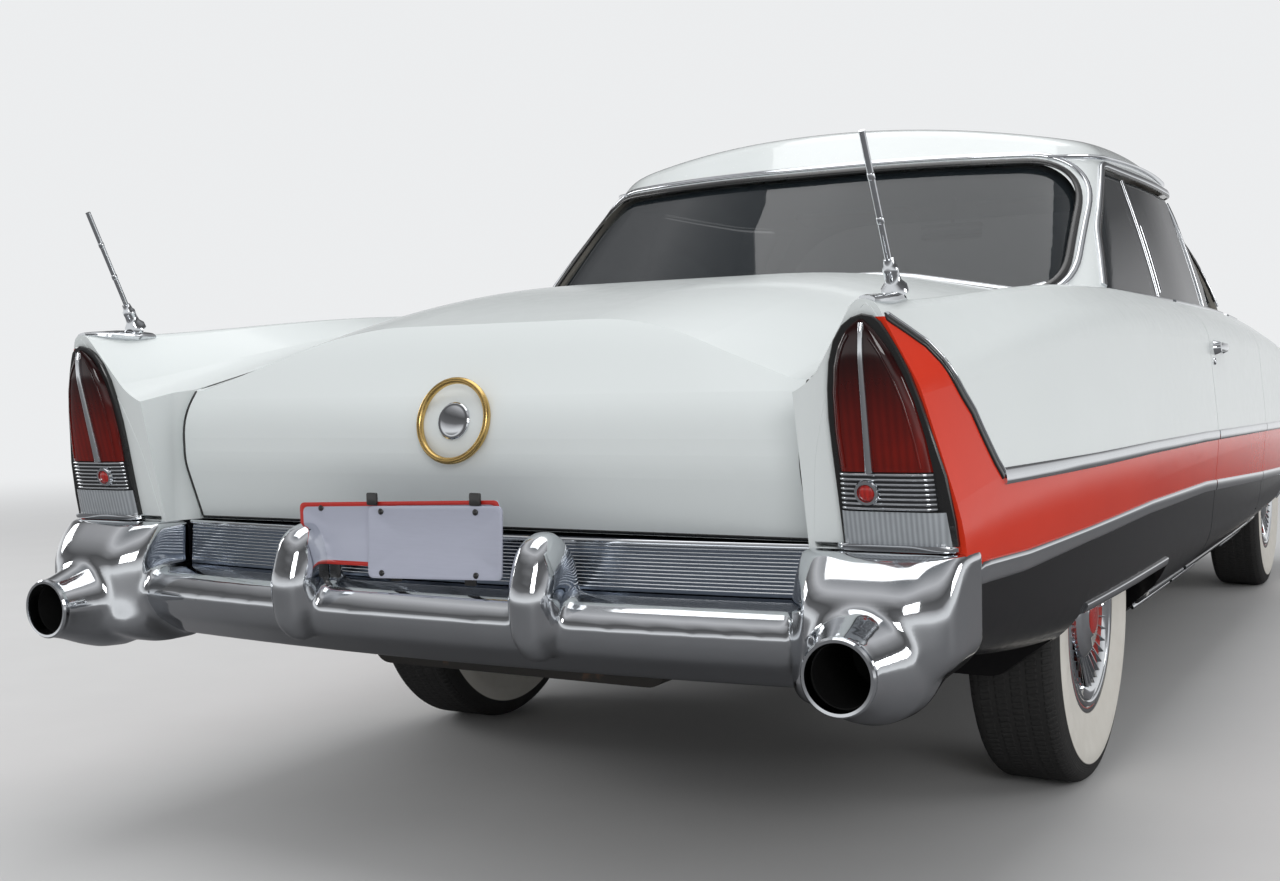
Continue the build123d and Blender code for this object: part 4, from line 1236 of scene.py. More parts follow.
def bored(mesh, cutter):
    """A mesh with another one taken out of it."""
    host, tool = bpy.data.objects.new("bored", mesh), bpy.data.objects.new("cutter", cutter)
    for o in (host, tool):
        bpy.context.scene.collection.objects.link(o)
    cut = host.modifiers.new("cut", "BOOLEAN")
    cut.operation, cut.object = "DIFFERENCE", tool
    found = bpy.data.meshes.new_from_object(host.evaluated_get(bpy.context.evaluated_depsgraph_get()))
    bpy.data.objects.remove(host)
    bpy.data.objects.remove(tool)
    return found


bore = along_car(spun([(2.585, 0.0), (2.585, port_bore + 0.002), (2.850, port_bore + 0.002), (2.850, 0.0)], 64),
                 port_x, port_z)
bumper_voxel, easing_rounds = 0.0065, 9
shell = bored(melted(parts, bumper_voxel, easing_rounds), pair(bore))
bumper = piece("bumper_shell", shell, "car", sooted, sharp=50)
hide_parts("rear_bumper")
port_rim = along_car(spun([(port_end - 0.022, 0.0560), (port_end - 0.004, 0.0572), (port_end - 0.0005, 0.0545),
                           (port_end - 0.0010, 0.0500), (port_end - 0.008, port_bore),
                           (port_end - 0.022, port_bore)], 64), port_x, port_z)
piece("port_rims", pair(port_rim))
liner = along_car(spun([(2.592, 0.0), (2.592, port_bore + 0.0012), (port_end - 0.024, port_bore + 0.0012),
                        (port_end - 0.024, port_bore - 0.001), (2.598, port_bore - 0.003), (2.598, 0.0)], 48),
                  port_x, port_z)
piece("port_liners", pair(liner), "car", soot)

emblem, emblem_out = from_behind("trunk_lid", 0.0, 0.839)
ring_profile = [(0.004 + 0.0075 * sin(a), 0.0735 + 0.0062 * cos(a)) for a in steps(0, 2 * pi, 0.5)[:-1]]
piece("lid_ring", spun(ring_profile, 72, emblem, emblem_out), "trunk_lid", gold_metal)
medal = [(-0.002, 0.0), (-0.002, 0.034), (0.003, 0.034), (0.0048, 0.032), (0.0042, 0.029), (0.0055, 0.026),
         (0.0082, 0.014), (0.0088, 0.0)]
piece("lid_medallion", spun(medal, 48, emblem, emblem_out), "trunk_lid")


# The two plates as the photo shows them, a blank one over a red-edged one, each pressed with a raised border
def pressed_plate(corners, y, thick, border, rise):
    """A plate between four corners (x, z), whose rim stands proud of its field."""
    outline = rounded(corners, [0.012] * 4, 0.004)
    middle = sum(outline, Vector((0, 0))) / len(outline)
    rows_made = []
    for inset, depth in ((0.0, 0.0), (0.0, thick + rise * 0.6), (0.0012, thick + rise), (border, thick + rise),
                         (border + 0.002, thick), (0.075, thick)):
        row = []
        for p in outline:
            toward = middle - p
            across = Vector((min(inset, abs(toward.x)) * (1 if toward.x > 0 else -1),
                             min(inset, abs(toward.y) * 0.9) * (1 if toward.y > 0 else -1)))
            spot = p + across
            row.append((spot.x, y + depth, spot.y))
        rows_made.append(row)
    return layered(rows_made)


front_plate_y, side_plate_y = 2.6500, 2.6440
front_corners = [(-0.173, 0.574), (-0.177, 0.700), (0.110, 0.693), (0.115, 0.565)]
side_corners = [(-0.167, 0.585), (-0.167, 0.709), (0.276, 0.695), (0.273, 0.585)]
front_mesh = pressed_plate(front_corners, front_plate_y, 0.0022, 0.006, 0.0012)
front_plate = piece("front_plate", front_mesh, "car", plate_pale)
side_mesh = pressed_plate(side_corners, side_plate_y, 0.0020, 0.006, 0.0012)
piece("side_plate", side_mesh, "car", plate_bordered)
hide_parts("licence_plate")
screw_head = [(-0.004, 0.0), (-0.004, 0.0055), (0.0010, 0.0055), (0.0026, 0.0040), (0.0032, 0.0)]
clip_meshes = [spun(screw_head, 18, (x, y, z), (0, 1, 0)) for x, y, z in
               ((-0.122, 2.6530, 0.688), (0.082, 2.6530, 0.684), (-0.120, 2.6530, 0.580), (0.084, 2.6530, 0.575),
                (0.225, 2.6468, 0.686))]
piece("plate_screws", joined(*clip_meshes), "car", black_gloss)
clip_outline = rounded(box_points(0.011, 0.011), [0.003] * 4, 0.003)
hangers = [plate(clip_outline, 0.005, 0.001, facing((x, 2.6505, z), (0, 1, 0)))
           for x, z in ((0.101, 0.706), (-0.122, 0.710))]
stay_outline = rounded(box_points(0.012, 0.060), [0.003] * 4, 0.003)
stays = [plate(stay_outline, 0.003, 0.001, facing((x, 2.6400, 0.620), (0, 1, 0))) for x in (0.060, -0.100, 0.200)]
piece("plate_hangers", joined(*hangers, *stays), "car", black_gloss)


# Antennas: a stepped foot, and collars where the sections slide into each other

antenna_base, antenna_tip = Vector((0.823, 2.539, 1.067)), Vector((0.818, 2.638, 1.262))
mast_way = (antenna_tip - antenna_base).normalized()
foot = [(-0.040, 0.0), (-0.040, 0.021), (-0.030, 0.020), (-0.022, 0.0135), (-0.008, 0.0115), (-0.004, 0.0125),
        (0.002, 0.0125), (0.006, 0.0095), (0.016, 0.0080), (0.018, 0.0)]
antenna_parts = [spun(foot, 32, antenna_base, mast_way)]
collar = [(-0.006, 0.0), (-0.006, 0.0046), (-0.004, 0.0058), (0.004, 0.0058), (0.006, 0.0046), (0.006, 0.0)]
for share in (0.36, 0.68):
    antenna_parts.append(spun(collar, 20, antenna_base.lerp(antenna_tip, share), mast_way))
bead = [(-0.005, 0.0), (-0.0035, 0.0040), (0.0, 0.0052), (0.0018, 0.0040), (0.0022, 0.0)]
antenna_parts.append(spun(bead, 20, antenna_tip - mast_way * 0.004, mast_way))
piece("antenna_fittings", pair(joined(*antenna_parts)))


# The trunk lid's gap, drawn as a dark line along its sides and foot
lid_low, lid_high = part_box("trunk_lid")
lid_foot = runs([from_behind("trunk_lid", x, lid_low.z + 0.0035) for x in steps(-0.672, 0.672, 0.02)])
moulding("lid_foot_shadow", "trunk_lid", lid_foot, 0.0060, 0.0016, rubber_and_painted_shade, 0.8)
lid_side = runs([from_behind("trunk_lid", lid_high.x - 0.0035, z) for z in steps(lid_low.z + 0.006, 0.960, 0.012)])
moulding("lid_side_shadow", "trunk_lid", both(lid_side), 0.0060, 0.0016, rubber_and_painted_shade, 0.8)


# Wheel covers: a bright ring, radial fins round a deep dish, and a plain red centre

def wheel_parts(outer):
    """The meshes of a wheel cover about the X axis, facing +X. outer is the wheel's outer face."""
    ring = spun([(outer - 0.036, 0.196), (outer - 0.010, 0.2065), (outer - 0.003, 0.2060), (outer + 0.003, 0.1990),
                 (outer + 0.002, 0.1910), (outer - 0.001, 0.1870), (outer + 0.001, 0.1830), (outer - 0.001, 0.1770),
                 (outer - 0.004, 0.1660), (outer - 0.009, 0.1570), (outer - 0.040, 0.1560), (outer - 0.040, 0.196)],
                72)
    dish = spun([(outer - 0.048, 0.0), (outer - 0.048, 0.160), (outer - 0.0085, 0.160), (outer - 0.0185, 0.120),
                 (outer - 0.0260, 0.092), (outer - 0.020, 0.088), (outer - 0.012, 0.0)], 60)
    hub = spun([(outer - 0.020, 0.0), (outer - 0.020, 0.094), (outer - 0.010, 0.094), (outer - 0.004, 0.086),
                (outer + 0.001, 0.074), (outer + 0.001, 0.050), (outer + 0.006, 0.044), (outer + 0.006, 0.0)], 60)
    centre = spun([(outer + 0.002, 0.0), (outer + 0.002, 0.040), (outer + 0.0075, 0.040), (outer + 0.010, 0.034),
                   (outer + 0.0115, 0.018), (outer + 0.012, 0.0)], 48)
    fin = bpy.data.meshes.new("wheel_fin")
    fin_points = []
    for half, depth in ((0.0030, 0.0), (0.0012, 0.011)):
        for radius, base in ((0.094, outer - 0.0265), (0.158, outer - 0.0100)):
            fin_points += [(base + depth, -half, radius), (base + depth, half, radius)]
    fin.from_pydata(fin_points, [], [(0, 1, 3, 2), (4, 6, 7, 5), (0, 4, 5, 1), (2, 3, 7, 6), (0, 2, 6, 4),
                                     (1, 5, 7, 3)])
    return ring, dish, hub, centre, outward(fin)


def hung_on(mesh, end, hand):
    """A mesh made about the X axis, put on one wheel."""
    turn = Matrix.Identity(4) if hand == "left" else Matrix.Rotation(pi, 4, "Z")
    return shifted(mesh, Matrix.Translation((0, axle_y[end], wheel_z)) @ turn)


for end in ("front", "rear"):
    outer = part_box(f"wheel_{end}_left")[1].x
    ring, dish, hub, centre, fin = wheel_parts(outer)
    fins = circles.make("wheel_fins", fin, Count=36, Finish=bright)
    for hand in ("left", "right"):
        body = f"wheel_{end}_{hand}"
        piece(f"trim_ring_{end}_{hand}", hung_on(joined(ring, hub), end, hand), body)
        piece(f"cover_dish_{end}_{hand}", hung_on(dish, end, hand), body, wheel_red)
        piece(f"cover_fins_{end}_{hand}", hung_on(fins, end, hand), body)
        piece(f"hub_centre_{end}_{hand}", hung_on(centre, end, hand), body, hub_red)


# Nose: lamp rims, parking lamps, mouth surround and a bead down the hood

def about_nose(mesh, x, y, z):
    """A mesh made about the X axis, turned to face forward and moved."""
    return shifted(mesh, Matrix.Translation((x, y, z)) @ Matrix.Rotation(-pi / 2, 4, "Z"))


lamp_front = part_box("headlamps")[0].y
rim_profile = [(-0.045, 0.0905), (-0.045, 0.1010), (-0.004, 0.1075), (0.006, 0.1060), (0.012, 0.1000),
               (0.010, 0.0940), (-0.004, 0.0905)]
piece("headlamp_rims", pair(about_nose(spun(rim_profile, 72), 0.795, lamp_front + 0.030, 0.765)))
spot, out = from_ahead("front_fenders", 0.790, 0.625)
park_rim = spun([(-0.020, 0.0), (-0.020, 0.044), (0.004, 0.046), (0.010, 0.042), (0.010, 0.036), (0.002, 0.034),
                 (0.002, 0.0)], 48, spot, out)
park_glass = spun([(0.000, 0.0), (0.000, 0.0345), (0.008, 0.0335), (0.014, 0.022), (0.016, 0.0)], 40, spot, out)
piece("parking_lamp_rims", pair(park_rim))
piece("parking_lamp_glass", pair(park_glass), "car", amber_glass)
mouth = rounded([(-0.608, 0.442), (-0.566, 0.783), (0.566, 0.783), (0.608, 0.442)], [0.068, 0.088, 0.088, 0.068])
mouth_path = [from_ahead("front_fenders", p.x, p.y) for p in mouth]
mouth_path = [s if s and s[0].y < -2.40 else None for s in mouth_path]
start = mouth_path.index(None) if None in mouth_path else 0
moulding("mouth_surround", "car", runs(mouth_path[start:] + mouth_path[:start]), 0.024, 0.014, square=0.7)
hood_line = runs([from_above("hood", 0.0, y) for y in steps(-2.40, -1.075, 0.04)])
hood_line = [[(p, n, 0.7 + 0.8 * max(0.0, (-p.y - 2.0) / 0.4)) for p, n in run] for run in hood_line]
moulding("hood_bead", "hood", hood_line, 0.016, 0.010, square=0.9)
hood_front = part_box("hood")[0].y
nose_line = runs([from_above("hood", x, hood_front + 0.016) for x in steps(-0.52, 0.52, 0.04)])
moulding("hood_lip", "hood", nose_line, 0.020, 0.008, square=0.8)

# Wipers
for hand, way in (("left", 1), ("right", -1)):
    blade = runs([from_ahead("windshield", way * (0.09 + 0.40 * t), 1.100 + 0.030 * t) for t in steps(0, 1, 0.05)])
    arm = runs([from_ahead("windshield", way * (0.06 + 0.24 * t), 1.083 + 0.036 * t) for t in steps(0, 1, 0.08)])
    raised_arm = [[(p + n * 0.010, n, 1.3 - 0.6 * k / len(run)) for k, (p, n) in enumerate(run)] for run in arm]
    moulding(f"wiper_blade_{hand}", "car", [[(p, n) for p, n in run] for run in blade], 0.010, 0.013, rubber_and_painted_shade,
             1.0)
    moulding(f"wiper_arm_{hand}", "car", raised_arm, 0.010, 0.006, square=1.0)
    foot_spot = from_above("cowl", way * 0.055, -0.935)
    if foot_spot:
        knob = spun([(-0.010, 0.0), (-0.010, 0.018), (0.012, 0.016), (0.034, 0.011), (0.040, 0.0)], 28, *foot_spot)
        piece(f"wiper_pivot_{hand}", knob)


# Door handles, locks and the fuel door

handle_line = runs([from_side("door_left", y, 0.955) for y in steps(0.165, 0.335, 0.01)])[0]
grip = [(p + n * 0.0120, n, 0.45 + 0.55 * sin(pi * k / (len(handle_line) - 1)) ** 0.5)
        for k, (p, n) in enumerate(handle_line)]
front_post = spun([(-0.004, 0.0), (-0.004, 0.018), (0.003, 0.015), (0.014, 0.010), (0.016, 0.0)], 28, *handle_line[1])
rear_post = spun([(-0.004, 0.0), (-0.004, 0.022), (0.004, 0.019), (0.014, 0.016), (0.018, 0.013), (0.0200, 0.0)], 28,
                 *handle_line[-2])
lock_spot = from_side("door_left", 0.352, 0.918)
lock = spun([(-0.003, 0.0), (-0.003, 0.011), (0.003, 0.010), (0.005, 0.007), (0.005, 0.0)], 24, *lock_spot)
for side, turned_path, turned_mesh in (("left", lambda p: p, lambda m: m), ("right", mirrored, flipped)):
    moulding(f"handle_grip_{side}", f"door_{side}", turned_path([grip]), 0.024, 0.0080, square=0.8)
    piece(f"handle_posts_{side}", turned_mesh(joined(front_post, rear_post, lock)), f"door_{side}")
# The fuel door's gap is drawn as a dark line: painted shade
flap = rounded([(1.98, 0.800), (1.98, 0.930), (2.12, 0.930), (2.12, 0.800)], [0.022] * 4, 0.01)
flap_path = [from_side("rear_body", p.x, p.y) for p in flap]
moulding("fuel_door_gap", "car", [[s for s in flap_path if s]], 0.0035, 0.0006, rubber_and_painted_shade, 1.0,
         closed=True)
finger = spun([(-0.002, 0.0), (-0.002, 0.013), (0.002, 0.012), (0.0035, 0.009), (0.0015, 0.006), (0.0010, 0.0)], 24,
              *from_side("rear_body", 2.096, 0.865))
piece("fuel_door_knob", finger)


# Cabin

def on_wall(mesh, x):
    """A flat mesh drawn in (y, z) and standing out from the left wall into the cabin."""
    return shifted(mesh, Matrix(((0, 0, -1, x), (1, 0, 0, 0), (0, 1, 0, 0), (0, 0, 0, 1))))


flat = Matrix.Identity(4)
wall_x = 0.7995
door_card = plate(rounded([(-0.600, 0.420), (-0.600, 0.985), (0.372, 0.985), (0.372, 0.420)],
                          [0.05, 0.03, 0.03, 0.05], 0.02), 0.010, 0.004, flat)
rest_pad = plate(rounded([(-0.220, 0.700), (-0.240, 0.755), (0.160, 0.765), (0.180, 0.700)], [0.02] * 4, 0.01), 0.058,
                 0.014, flat)
winder = spun([(0.0, 0.0), (0.0, 0.026), (0.012, 0.024), (0.018, 0.012), (0.020, 0.0)], 28,
              (-0.330, 0.640, 0.009), (0, 0, 1))
crank = plate(rounded([(-0.336, 0.560), (-0.336, 0.640), (-0.324, 0.640), (-0.324, 0.560)], [0.005] * 4, 0.004), 0.006,
              0.002, Matrix.Translation((0, 0, 0.027)))
crank_knob = spun([(0.0, 0.0), (0.0, 0.008), (0.020, 0.011), (0.030, 0.009), (0.034, 0.0)], 24,
                  (-0.330, 0.566, 0.030), (0, 0, 1))
pull = spun([(0.0, 0.0), (0.0, 0.022), (0.012, 0.020), (0.018, 0.010), (0.020, 0.0)], 28, (-0.420, 0.820, 0.009),
            (0, 0, 1))
latch = plate(rounded([(-0.424, 0.813), (-0.424, 0.827), (-0.340, 0.827), (-0.340, 0.813)], [0.006] * 4, 0.004), 0.006,
              0.002, Matrix.Translation((0, 0, 0.026)))
for side, turned_mesh in (("left", lambda m: m), ("right", flipped)):
    body = f"door_{side}"
    piece(f"door_card_{side}", turned_mesh(on_wall(door_card, wall_x)), body, card_hide)
    piece(f"arm_rest_{side}", turned_mesh(on_wall(rest_pad, wall_x - 0.009)), body, red_hide)
    piece(f"door_levers_{side}", turned_mesh(on_wall(joined(winder, crank, pull, latch), wall_x)), body)
    piece(f"crank_knob_{side}", turned_mesh(on_wall(crank_knob, wall_x)), body, ivory)
    strip = [[(Vector((wall_x - 0.010, y, z)), Vector((-1, 0, 0))) for y in steps(-0.585, 0.358, 0.05)]
             for z in (0.870, 0.560)]
    moulding(f"card_strips_{side}", body, strip if side == "left" else mirrored(strip), 0.010, 0.004, square=1.0)
rear_card = plate(rounded([(0.425, 0.460), (0.425, 0.985), (0.975, 0.985), (0.975, 0.460)], [0.03] * 4, 0.02), 0.010,
                  0.004, flat)
piece("rear_cards", pair(on_wall(rear_card, wall_x)), "car", card_hide)


# Steering wheel: horn ring and boss
wheel_way = Vector((0, 0.520, 0.220)).normalized()
wheel_middle = Vector((0.370, -0.352, 0.858)) + wheel_way * 0.040
horn = [(0.006 + 0.0042 * sin(a), 0.118 + 0.0042 * cos(a)) for a in steps(0, 2 * pi, 0.6)[:-1]]
boss = [(-0.020, 0.0), (-0.020, 0.050), (0.004, 0.052), (0.014, 0.044), (0.020, 0.030), (0.020, 0.0)]
button = [(0.018, 0.0), (0.018, 0.027), (0.024, 0.024), (0.027, 0.012), (0.028, 0.0)]
spokes = []
for turn in (radians(28), radians(152), radians(270)):
    across = Vector((cos(turn), 0, 0)) + wheel_way.cross(Vector((1, 0, 0))) * -sin(turn)
    spokes.append([(wheel_middle + across * r + wheel_way * 0.004, wheel_way) for r in steps(0.040, 0.120, 0.02)])
horn_ring = spun(horn, 64, wheel_middle, wheel_way)
piece("horn_ring", joined(horn_ring, spun(boss, 48, wheel_middle, wheel_way)), "steering_wheel")
moulding("horn_spokes", "steering_wheel", spokes, 0.008, 0.004, square=1.0)
piece("horn_button", spun(button, 40, wheel_middle, wheel_way), "steering_wheel", hub_red)


# Dashboard: dials, radio, speaker slats and the locker's edge

def on_dash(x, z):
    """The dashboard's face as seen from the seats."""
    return touch("dashboard", (x, -0.10, z), (0, -1, 0))


dial_ring = [(-0.012, 0.92), (-0.012, 1.06), (0.006, 1.10), (0.014, 1.06), (0.014, 1.0), (0.004, 0.94)]
dials = [(0.370, 0.965, 0.058), (0.225, 0.955, 0.036), (0.515, 0.955, 0.036), (-0.120, 0.950, 0.034)]
tick = bpy.data.meshes.new("tick")
tick.from_pydata([(0, -0.016, 0.80), (0, 0.016, 0.80), (0, 0.016, 0.90), (0, -0.016, 0.90), (0.02, -0.012, 0.80),
                  (0.02, 0.012, 0.80), (0.02, 0.012, 0.90), (0.02, -0.012, 0.90)], [],
                 [(3, 2, 1, 0), (4, 5, 6, 7), (0, 1, 5, 4), (1, 2, 6, 5), (2, 3, 7, 6), (3, 0, 4, 7)])
ticks = circles.make("dial_ticks", outward(tick), Count=24, Finish=ivory)
rings, faces, marks = [], [], []
for x, z, size in dials:
    spot, out = on_dash(x, z)
    rings.append(spun([(a, r * size) for a, r in dial_ring], 48, spot, out))
    faces.append(spun([(-0.006, 0.0), (-0.006, size), (0.003, size), (0.004, size * 0.92), (0.0045, 0.0)], 48, spot,
                      out))
    turn = Vector((1, 0, 0)).rotation_difference(out).to_matrix().to_4x4()
    marks.append(shifted(ticks, Matrix.Translation(spot + out * 0.0045) @ turn @ Matrix.Diagonal(
        (0.05, size, size, 1))))
    needle = plate([(-0.0018, -size * 0.2), (0.0018, -size * 0.2), (0.0006, size * 0.74), (-0.0006, size * 0.74)],
                   0.0012, 0, facing(spot + out * 0.0075, out) @ Matrix.Rotation(radians(55), 4, "Z"))
    marks.append(needle)
piece("dial_rings", joined(*rings))
piece("dial_faces", joined(*faces), "car", black_gloss)
piece("dial_marks", joined(*marks), "car", ivory)
spot, out = on_dash(0.050, 0.880)
radio = plate(rounded(box_points(0.110, 0.030), [0.010] * 4, 0.006), 0.008, 0.003, facing(spot, out))
knob = [(0.0, 0.0), (0.0, 0.013), (0.014, 0.012), (0.017, 0.009), (0.017, 0.0)]
knobs = [spun(knob, 24, spot + Vector((x, 0, 0)) + out * 0.006, out) for x in (-0.090, 0.090)]
key = plate(rounded(box_points(0.0085, 0.008), [0.002] * 4, 0.003), 0.008, 0.0015,
            facing(spot + Vector((-0.052, 0, -0.004)) + out * 0.007, out))
keys = rows.make("radio_keys", key, Count=5, Step=Vector((0.026, 0, 0)), Finish=bright)
piece("radio", joined(radio, *knobs))
piece("radio_keys", keys, "car", ivory)
slat = plate(rounded(box_points(0.090, 0.0022), [0.001] * 4, 0.004), 0.004, 0.001,
             facing(*on_dash(0.050, 0.930)))
slats = rows.make("speaker_slats", slat, Count=6, Step=Vector((0, 0.0008, 0.0095)), Finish=bright)
piece("speaker_slats", slats)
locker = rounded([(-0.640, 0.850), (-0.640, 0.985), (-0.260, 0.985), (-0.260, 0.850)], [0.02] * 4, 0.012)
locker_path = [[s for s in (on_dash(p.x, p.y) for p in locker) if s]]
moulding("locker_edge", "car", locker_path, 0.005, 0.002, square=1.0, closed=True)
dash_strip = runs([on_dash(x, 0.838) for x in steps(-0.760, 0.760, 0.03)])
moulding("dash_strip", "car", dash_strip, 0.018, 0.005, square=0.7)
piece("locker_lock", spun(knob, 24, *on_dash(-0.450, 0.965)))

# Mirror and visors
mirror = plate(rounded(box_points(0.112, 0.029), [0.020] * 4, 0.008), 0.018, 0.004,
               facing((0.0, -0.385, 1.392), (0, 1, -0.15)))
mirror_glass = plate(rounded(box_points(0.104, 0.023), [0.016] * 4, 0.008), 0.002, 0.0006,
                     facing((0.0, -0.3670, 1.3893), (0, 1, -0.15)))
mirror_arm = spun([(0.0, 0.0), (0.0, 0.007), (0.110, 0.005), (0.122, 0.012), (0.126, 0.0)], 20, (0.0, -0.382, 1.395),
                  (0, -0.35, 1.0))
piece("mirror_shell", joined(mirror, mirror_arm))
piece("mirror_glass", mirror_glass, "car", mirror_silver)
visor = plate(rounded(box_points(0.215, 0.070), [0.025] * 4, 0.012), 0.014, 0.005,
              facing((0.330, -0.330, 1.462), (0, 0.22, -1), (0, 1, 0)))
piece("sun_visors", pair(visor), "car", white_hide)


# Seats: cushions and backs swollen as cloth under pressure, then drawn in along their pleats

def pad_shape(outline, half):
    """A closed pad through a side outline in (y, z), with its ends pulled in."""
    middle = sum(outline, Vector((0, 0))) / len(outline)
    rows_made = []
    for t in steps(-1, 1, 0.05):
        size = (1 - abs(t) ** 9 * 0.30)
        rows_made.append([(half * t, *(middle + (p - middle) * size)) for p in outline])
    return layered(rows_made)


def blown_up(mesh, voxel, cap):
    """The pad swollen by cloth under pressure, with no point moved further than cap."""
    host = bpy.data.objects.new("pad", mesh)
    bpy.context.scene.collection.objects.link(host)
    fine = host.modifiers.new("fine", "REMESH")
    fine.mode, fine.voxel_size = "VOXEL", voxel
    depsgraph = bpy.context.evaluated_depsgraph_get()
    start = bpy.data.meshes.new_from_object(host.evaluated_get(depsgraph))
    bpy.data.objects.remove(host)
    host = bpy.data.objects.new("pad", start)
    bpy.context.scene.collection.objects.link(host)
    cloth = host.modifiers.new("cloth", "CLOTH")
    cloth.settings.use_pressure = True
    cloth.settings.uniform_pressure_force = 4
    cloth.settings.effector_weights.gravity = 0
    cloth.settings.quality = 4
    for number in range(1, 21):
        bpy.context.scene.frame_set(number)
    swollen = bpy.data.meshes.new_from_object(host.evaluated_get(bpy.context.evaluated_depsgraph_get()))
    for v, rest in zip(swollen.vertices, start.vertices):
        move = v.co - rest.co
        if move.length > cap:
            v.co = rest.co + move * (cap / move.length)
    bpy.data.objects.remove(host)
    bpy.context.scene.frame_set(1)
    start = swollen
    host = bpy.data.objects.new("pad", start)
    bpy.context.scene.collection.objects.link(host)
    finer = host.modifiers.new("finer", "SUBSURF")
    finer.levels = finer.render_levels = 1
    found = bpy.data.meshes.new_from_object(host.evaluated_get(bpy.context.evaluated_depsgraph_get()))
    bpy.data.objects.remove(host)
    return found


def pleated(mesh, pleat, inside, depth):
    """Sewn channels across the pad, drawn in where inside says so."""
    normals = [v.normal.copy() for v in mesh.vertices]
    for v, n in zip(mesh.vertices, normals):
        share = inside(v.co, n)
        if share > 0:
            place = abs((v.co.x / pleat) % 1.0 - 0.5) * 2
            v.co -= n * depth * share * (1 - place) ** 3
    return mesh


def kept_inside(mesh, low, high):
    """Holds a pad inside the box of the solid that it stands for."""
    for v in mesh.vertices:
        v.co = Vector([min(max(v.co[i], low[i]), high[i]) for i in range(3)])
    return mesh


def soft_edge(value, edge, width):
    """0 below the edge, rising to 1 over the width."""
    return max(0.0, min(1.0, (value - edge) / width))


def in_panel(spot):
    """1 in the pleated middle of a seat."""
    return soft_edge(panel_half - abs(spot.x), 0, 0.02)


seat_half, panel_half = 0.664, 0.600        # half widths of a seat, and of its white pleated middle
pad_voxel, cushion_swell, back_swell = 0.013, 0.024, 0.020
pleat_pitch, pleat_depth = 0.062, 0.010
seat_forms = {
    "front": ("front_seat", [(-0.185, 0.330), (-0.190, 0.565), (0.285, 0.560), (0.290, 0.330)],
              [(0.290, 0.400), (0.296, 0.640), (0.322, 1.030), (0.396, 1.030), (0.376, 0.640), (0.372, 0.400)]),
    "rear": ("rear_seat", [(0.575, 0.330), (0.570, 0.560), (0.880, 0.550), (0.885, 0.330)],
             [(0.895, 0.400), (0.905, 0.640), (0.918, 1.010), (0.995, 1.010), (0.995, 0.640), (0.995, 0.400)]),
}
for row, (node, cushion_side, back_side) in seat_forms.items():
    low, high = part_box(node)
    cushion_outline = rounded(cushion_side, [0.040, 0.075, 0.060, 0.030], 0.02)
    cushion = blown_up(pad_shape(cushion_outline, seat_half), pad_voxel, cushion_swell)
    cushion = pleated(cushion, pleat_pitch, lambda p, n: soft_edge(n.z, 0.45, 0.3) * in_panel(p), pleat_depth)
    back_outline = rounded(back_side, [0.02, 0.02, 0.036, 0.036, 0.02, 0.02], 0.02)
    back_rest = blown_up(pad_shape(back_outline, seat_half), pad_voxel, back_swell)
    back_rest = pleated(back_rest, pleat_pitch,
                        lambda p, n: soft_edge(-n.y, 0.5, 0.3) * in_panel(p) * soft_edge(0.945 - p.z, 0, 0.02),
                        pleat_depth)
    cushion_piece = piece(f"{row}_cushion", kept_inside(cushion, low, high), "car", seat_hide, 60)
    back_piece = piece(f"{row}_back_rest", kept_inside(back_rest, low, high), "car", seat_hide, 60)
    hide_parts(node)
    skins[f"{row}_cushion"] = BVHTree.FromPolygons([v.co for v in cushion.vertices],
                                                   [tuple(f.vertices) for f in cushion.polygons])
    front = cushion_side[0][0]
    piping = runs([touch(f"{row}_cushion", (x, front - 0.3, 0.520), (0, 1, 0)) for x in steps(-0.60, 0.60, 0.03)])
    moulding(f"{row}_piping", "car", piping, 0.009, 0.005, white_hide, 1.0)
    plinth = plate(rounded(box_points(0.640, (back_side[0][0] - front) / 2), [0.03] * 4, 0.03), 0.060, 0.008,
                   Matrix.Translation((0, (back_side[0][0] + front) / 2, max(0.302, low.z))))
    piece(f"{row}_plinth", plinth, "car", black_gloss)


# Under the hood: rocker covers, air cleaner, distributor, plug leads and radiator on the plain engine block

engine_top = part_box("engine_block")[1].z
cover = plate(rounded(box_points(0.062, 0.270), [0.035] * 4, 0.015), 0.046, 0.014,
              Matrix.Translation((0.160, -1.600, engine_top - 0.004)))
cover_rib = plate(rounded(box_points(0.045, 0.004), [0.003] * 4, 0.006), 0.005, 0.002,
                  Matrix.Translation((0.160, -1.800, engine_top + 0.040)))
cover_ribs = rows.make("cover_ribs", cover_rib, Count=9, Step=Vector((0, 0.050, 0)), Finish=gold_metal)
piece("rocker_covers", pair(cover), "car", cover_enamel)
piece("rocker_cover_ribs", pair(cover_ribs), "car", gold_metal)
cleaner = spun([(0.0, 0.0), (0.0, 0.060), (0.016, 0.062), (0.020, 0.150), (0.030, 0.165), (0.062, 0.165),
                (0.074, 0.152), (0.078, 0.040), (0.086, 0.016), (0.088, 0.0)], 56, (0, -1.520, engine_top - 0.002),
               (0, 0, 1))
piece("air_cleaner", cleaner, "car", black_gloss)
distributor = spun([(-0.004, 0.0), (-0.004, 0.030), (0.020, 0.030), (0.024, 0.042), (0.060, 0.040), (0.070, 0.024),
                    (0.070, 0.0)], 36, (0.0, -1.150, engine_top - 0.002), (0, 0, 1))
piece("distributor", distributor, "car", rubber_and_painted_shade)
leads = []
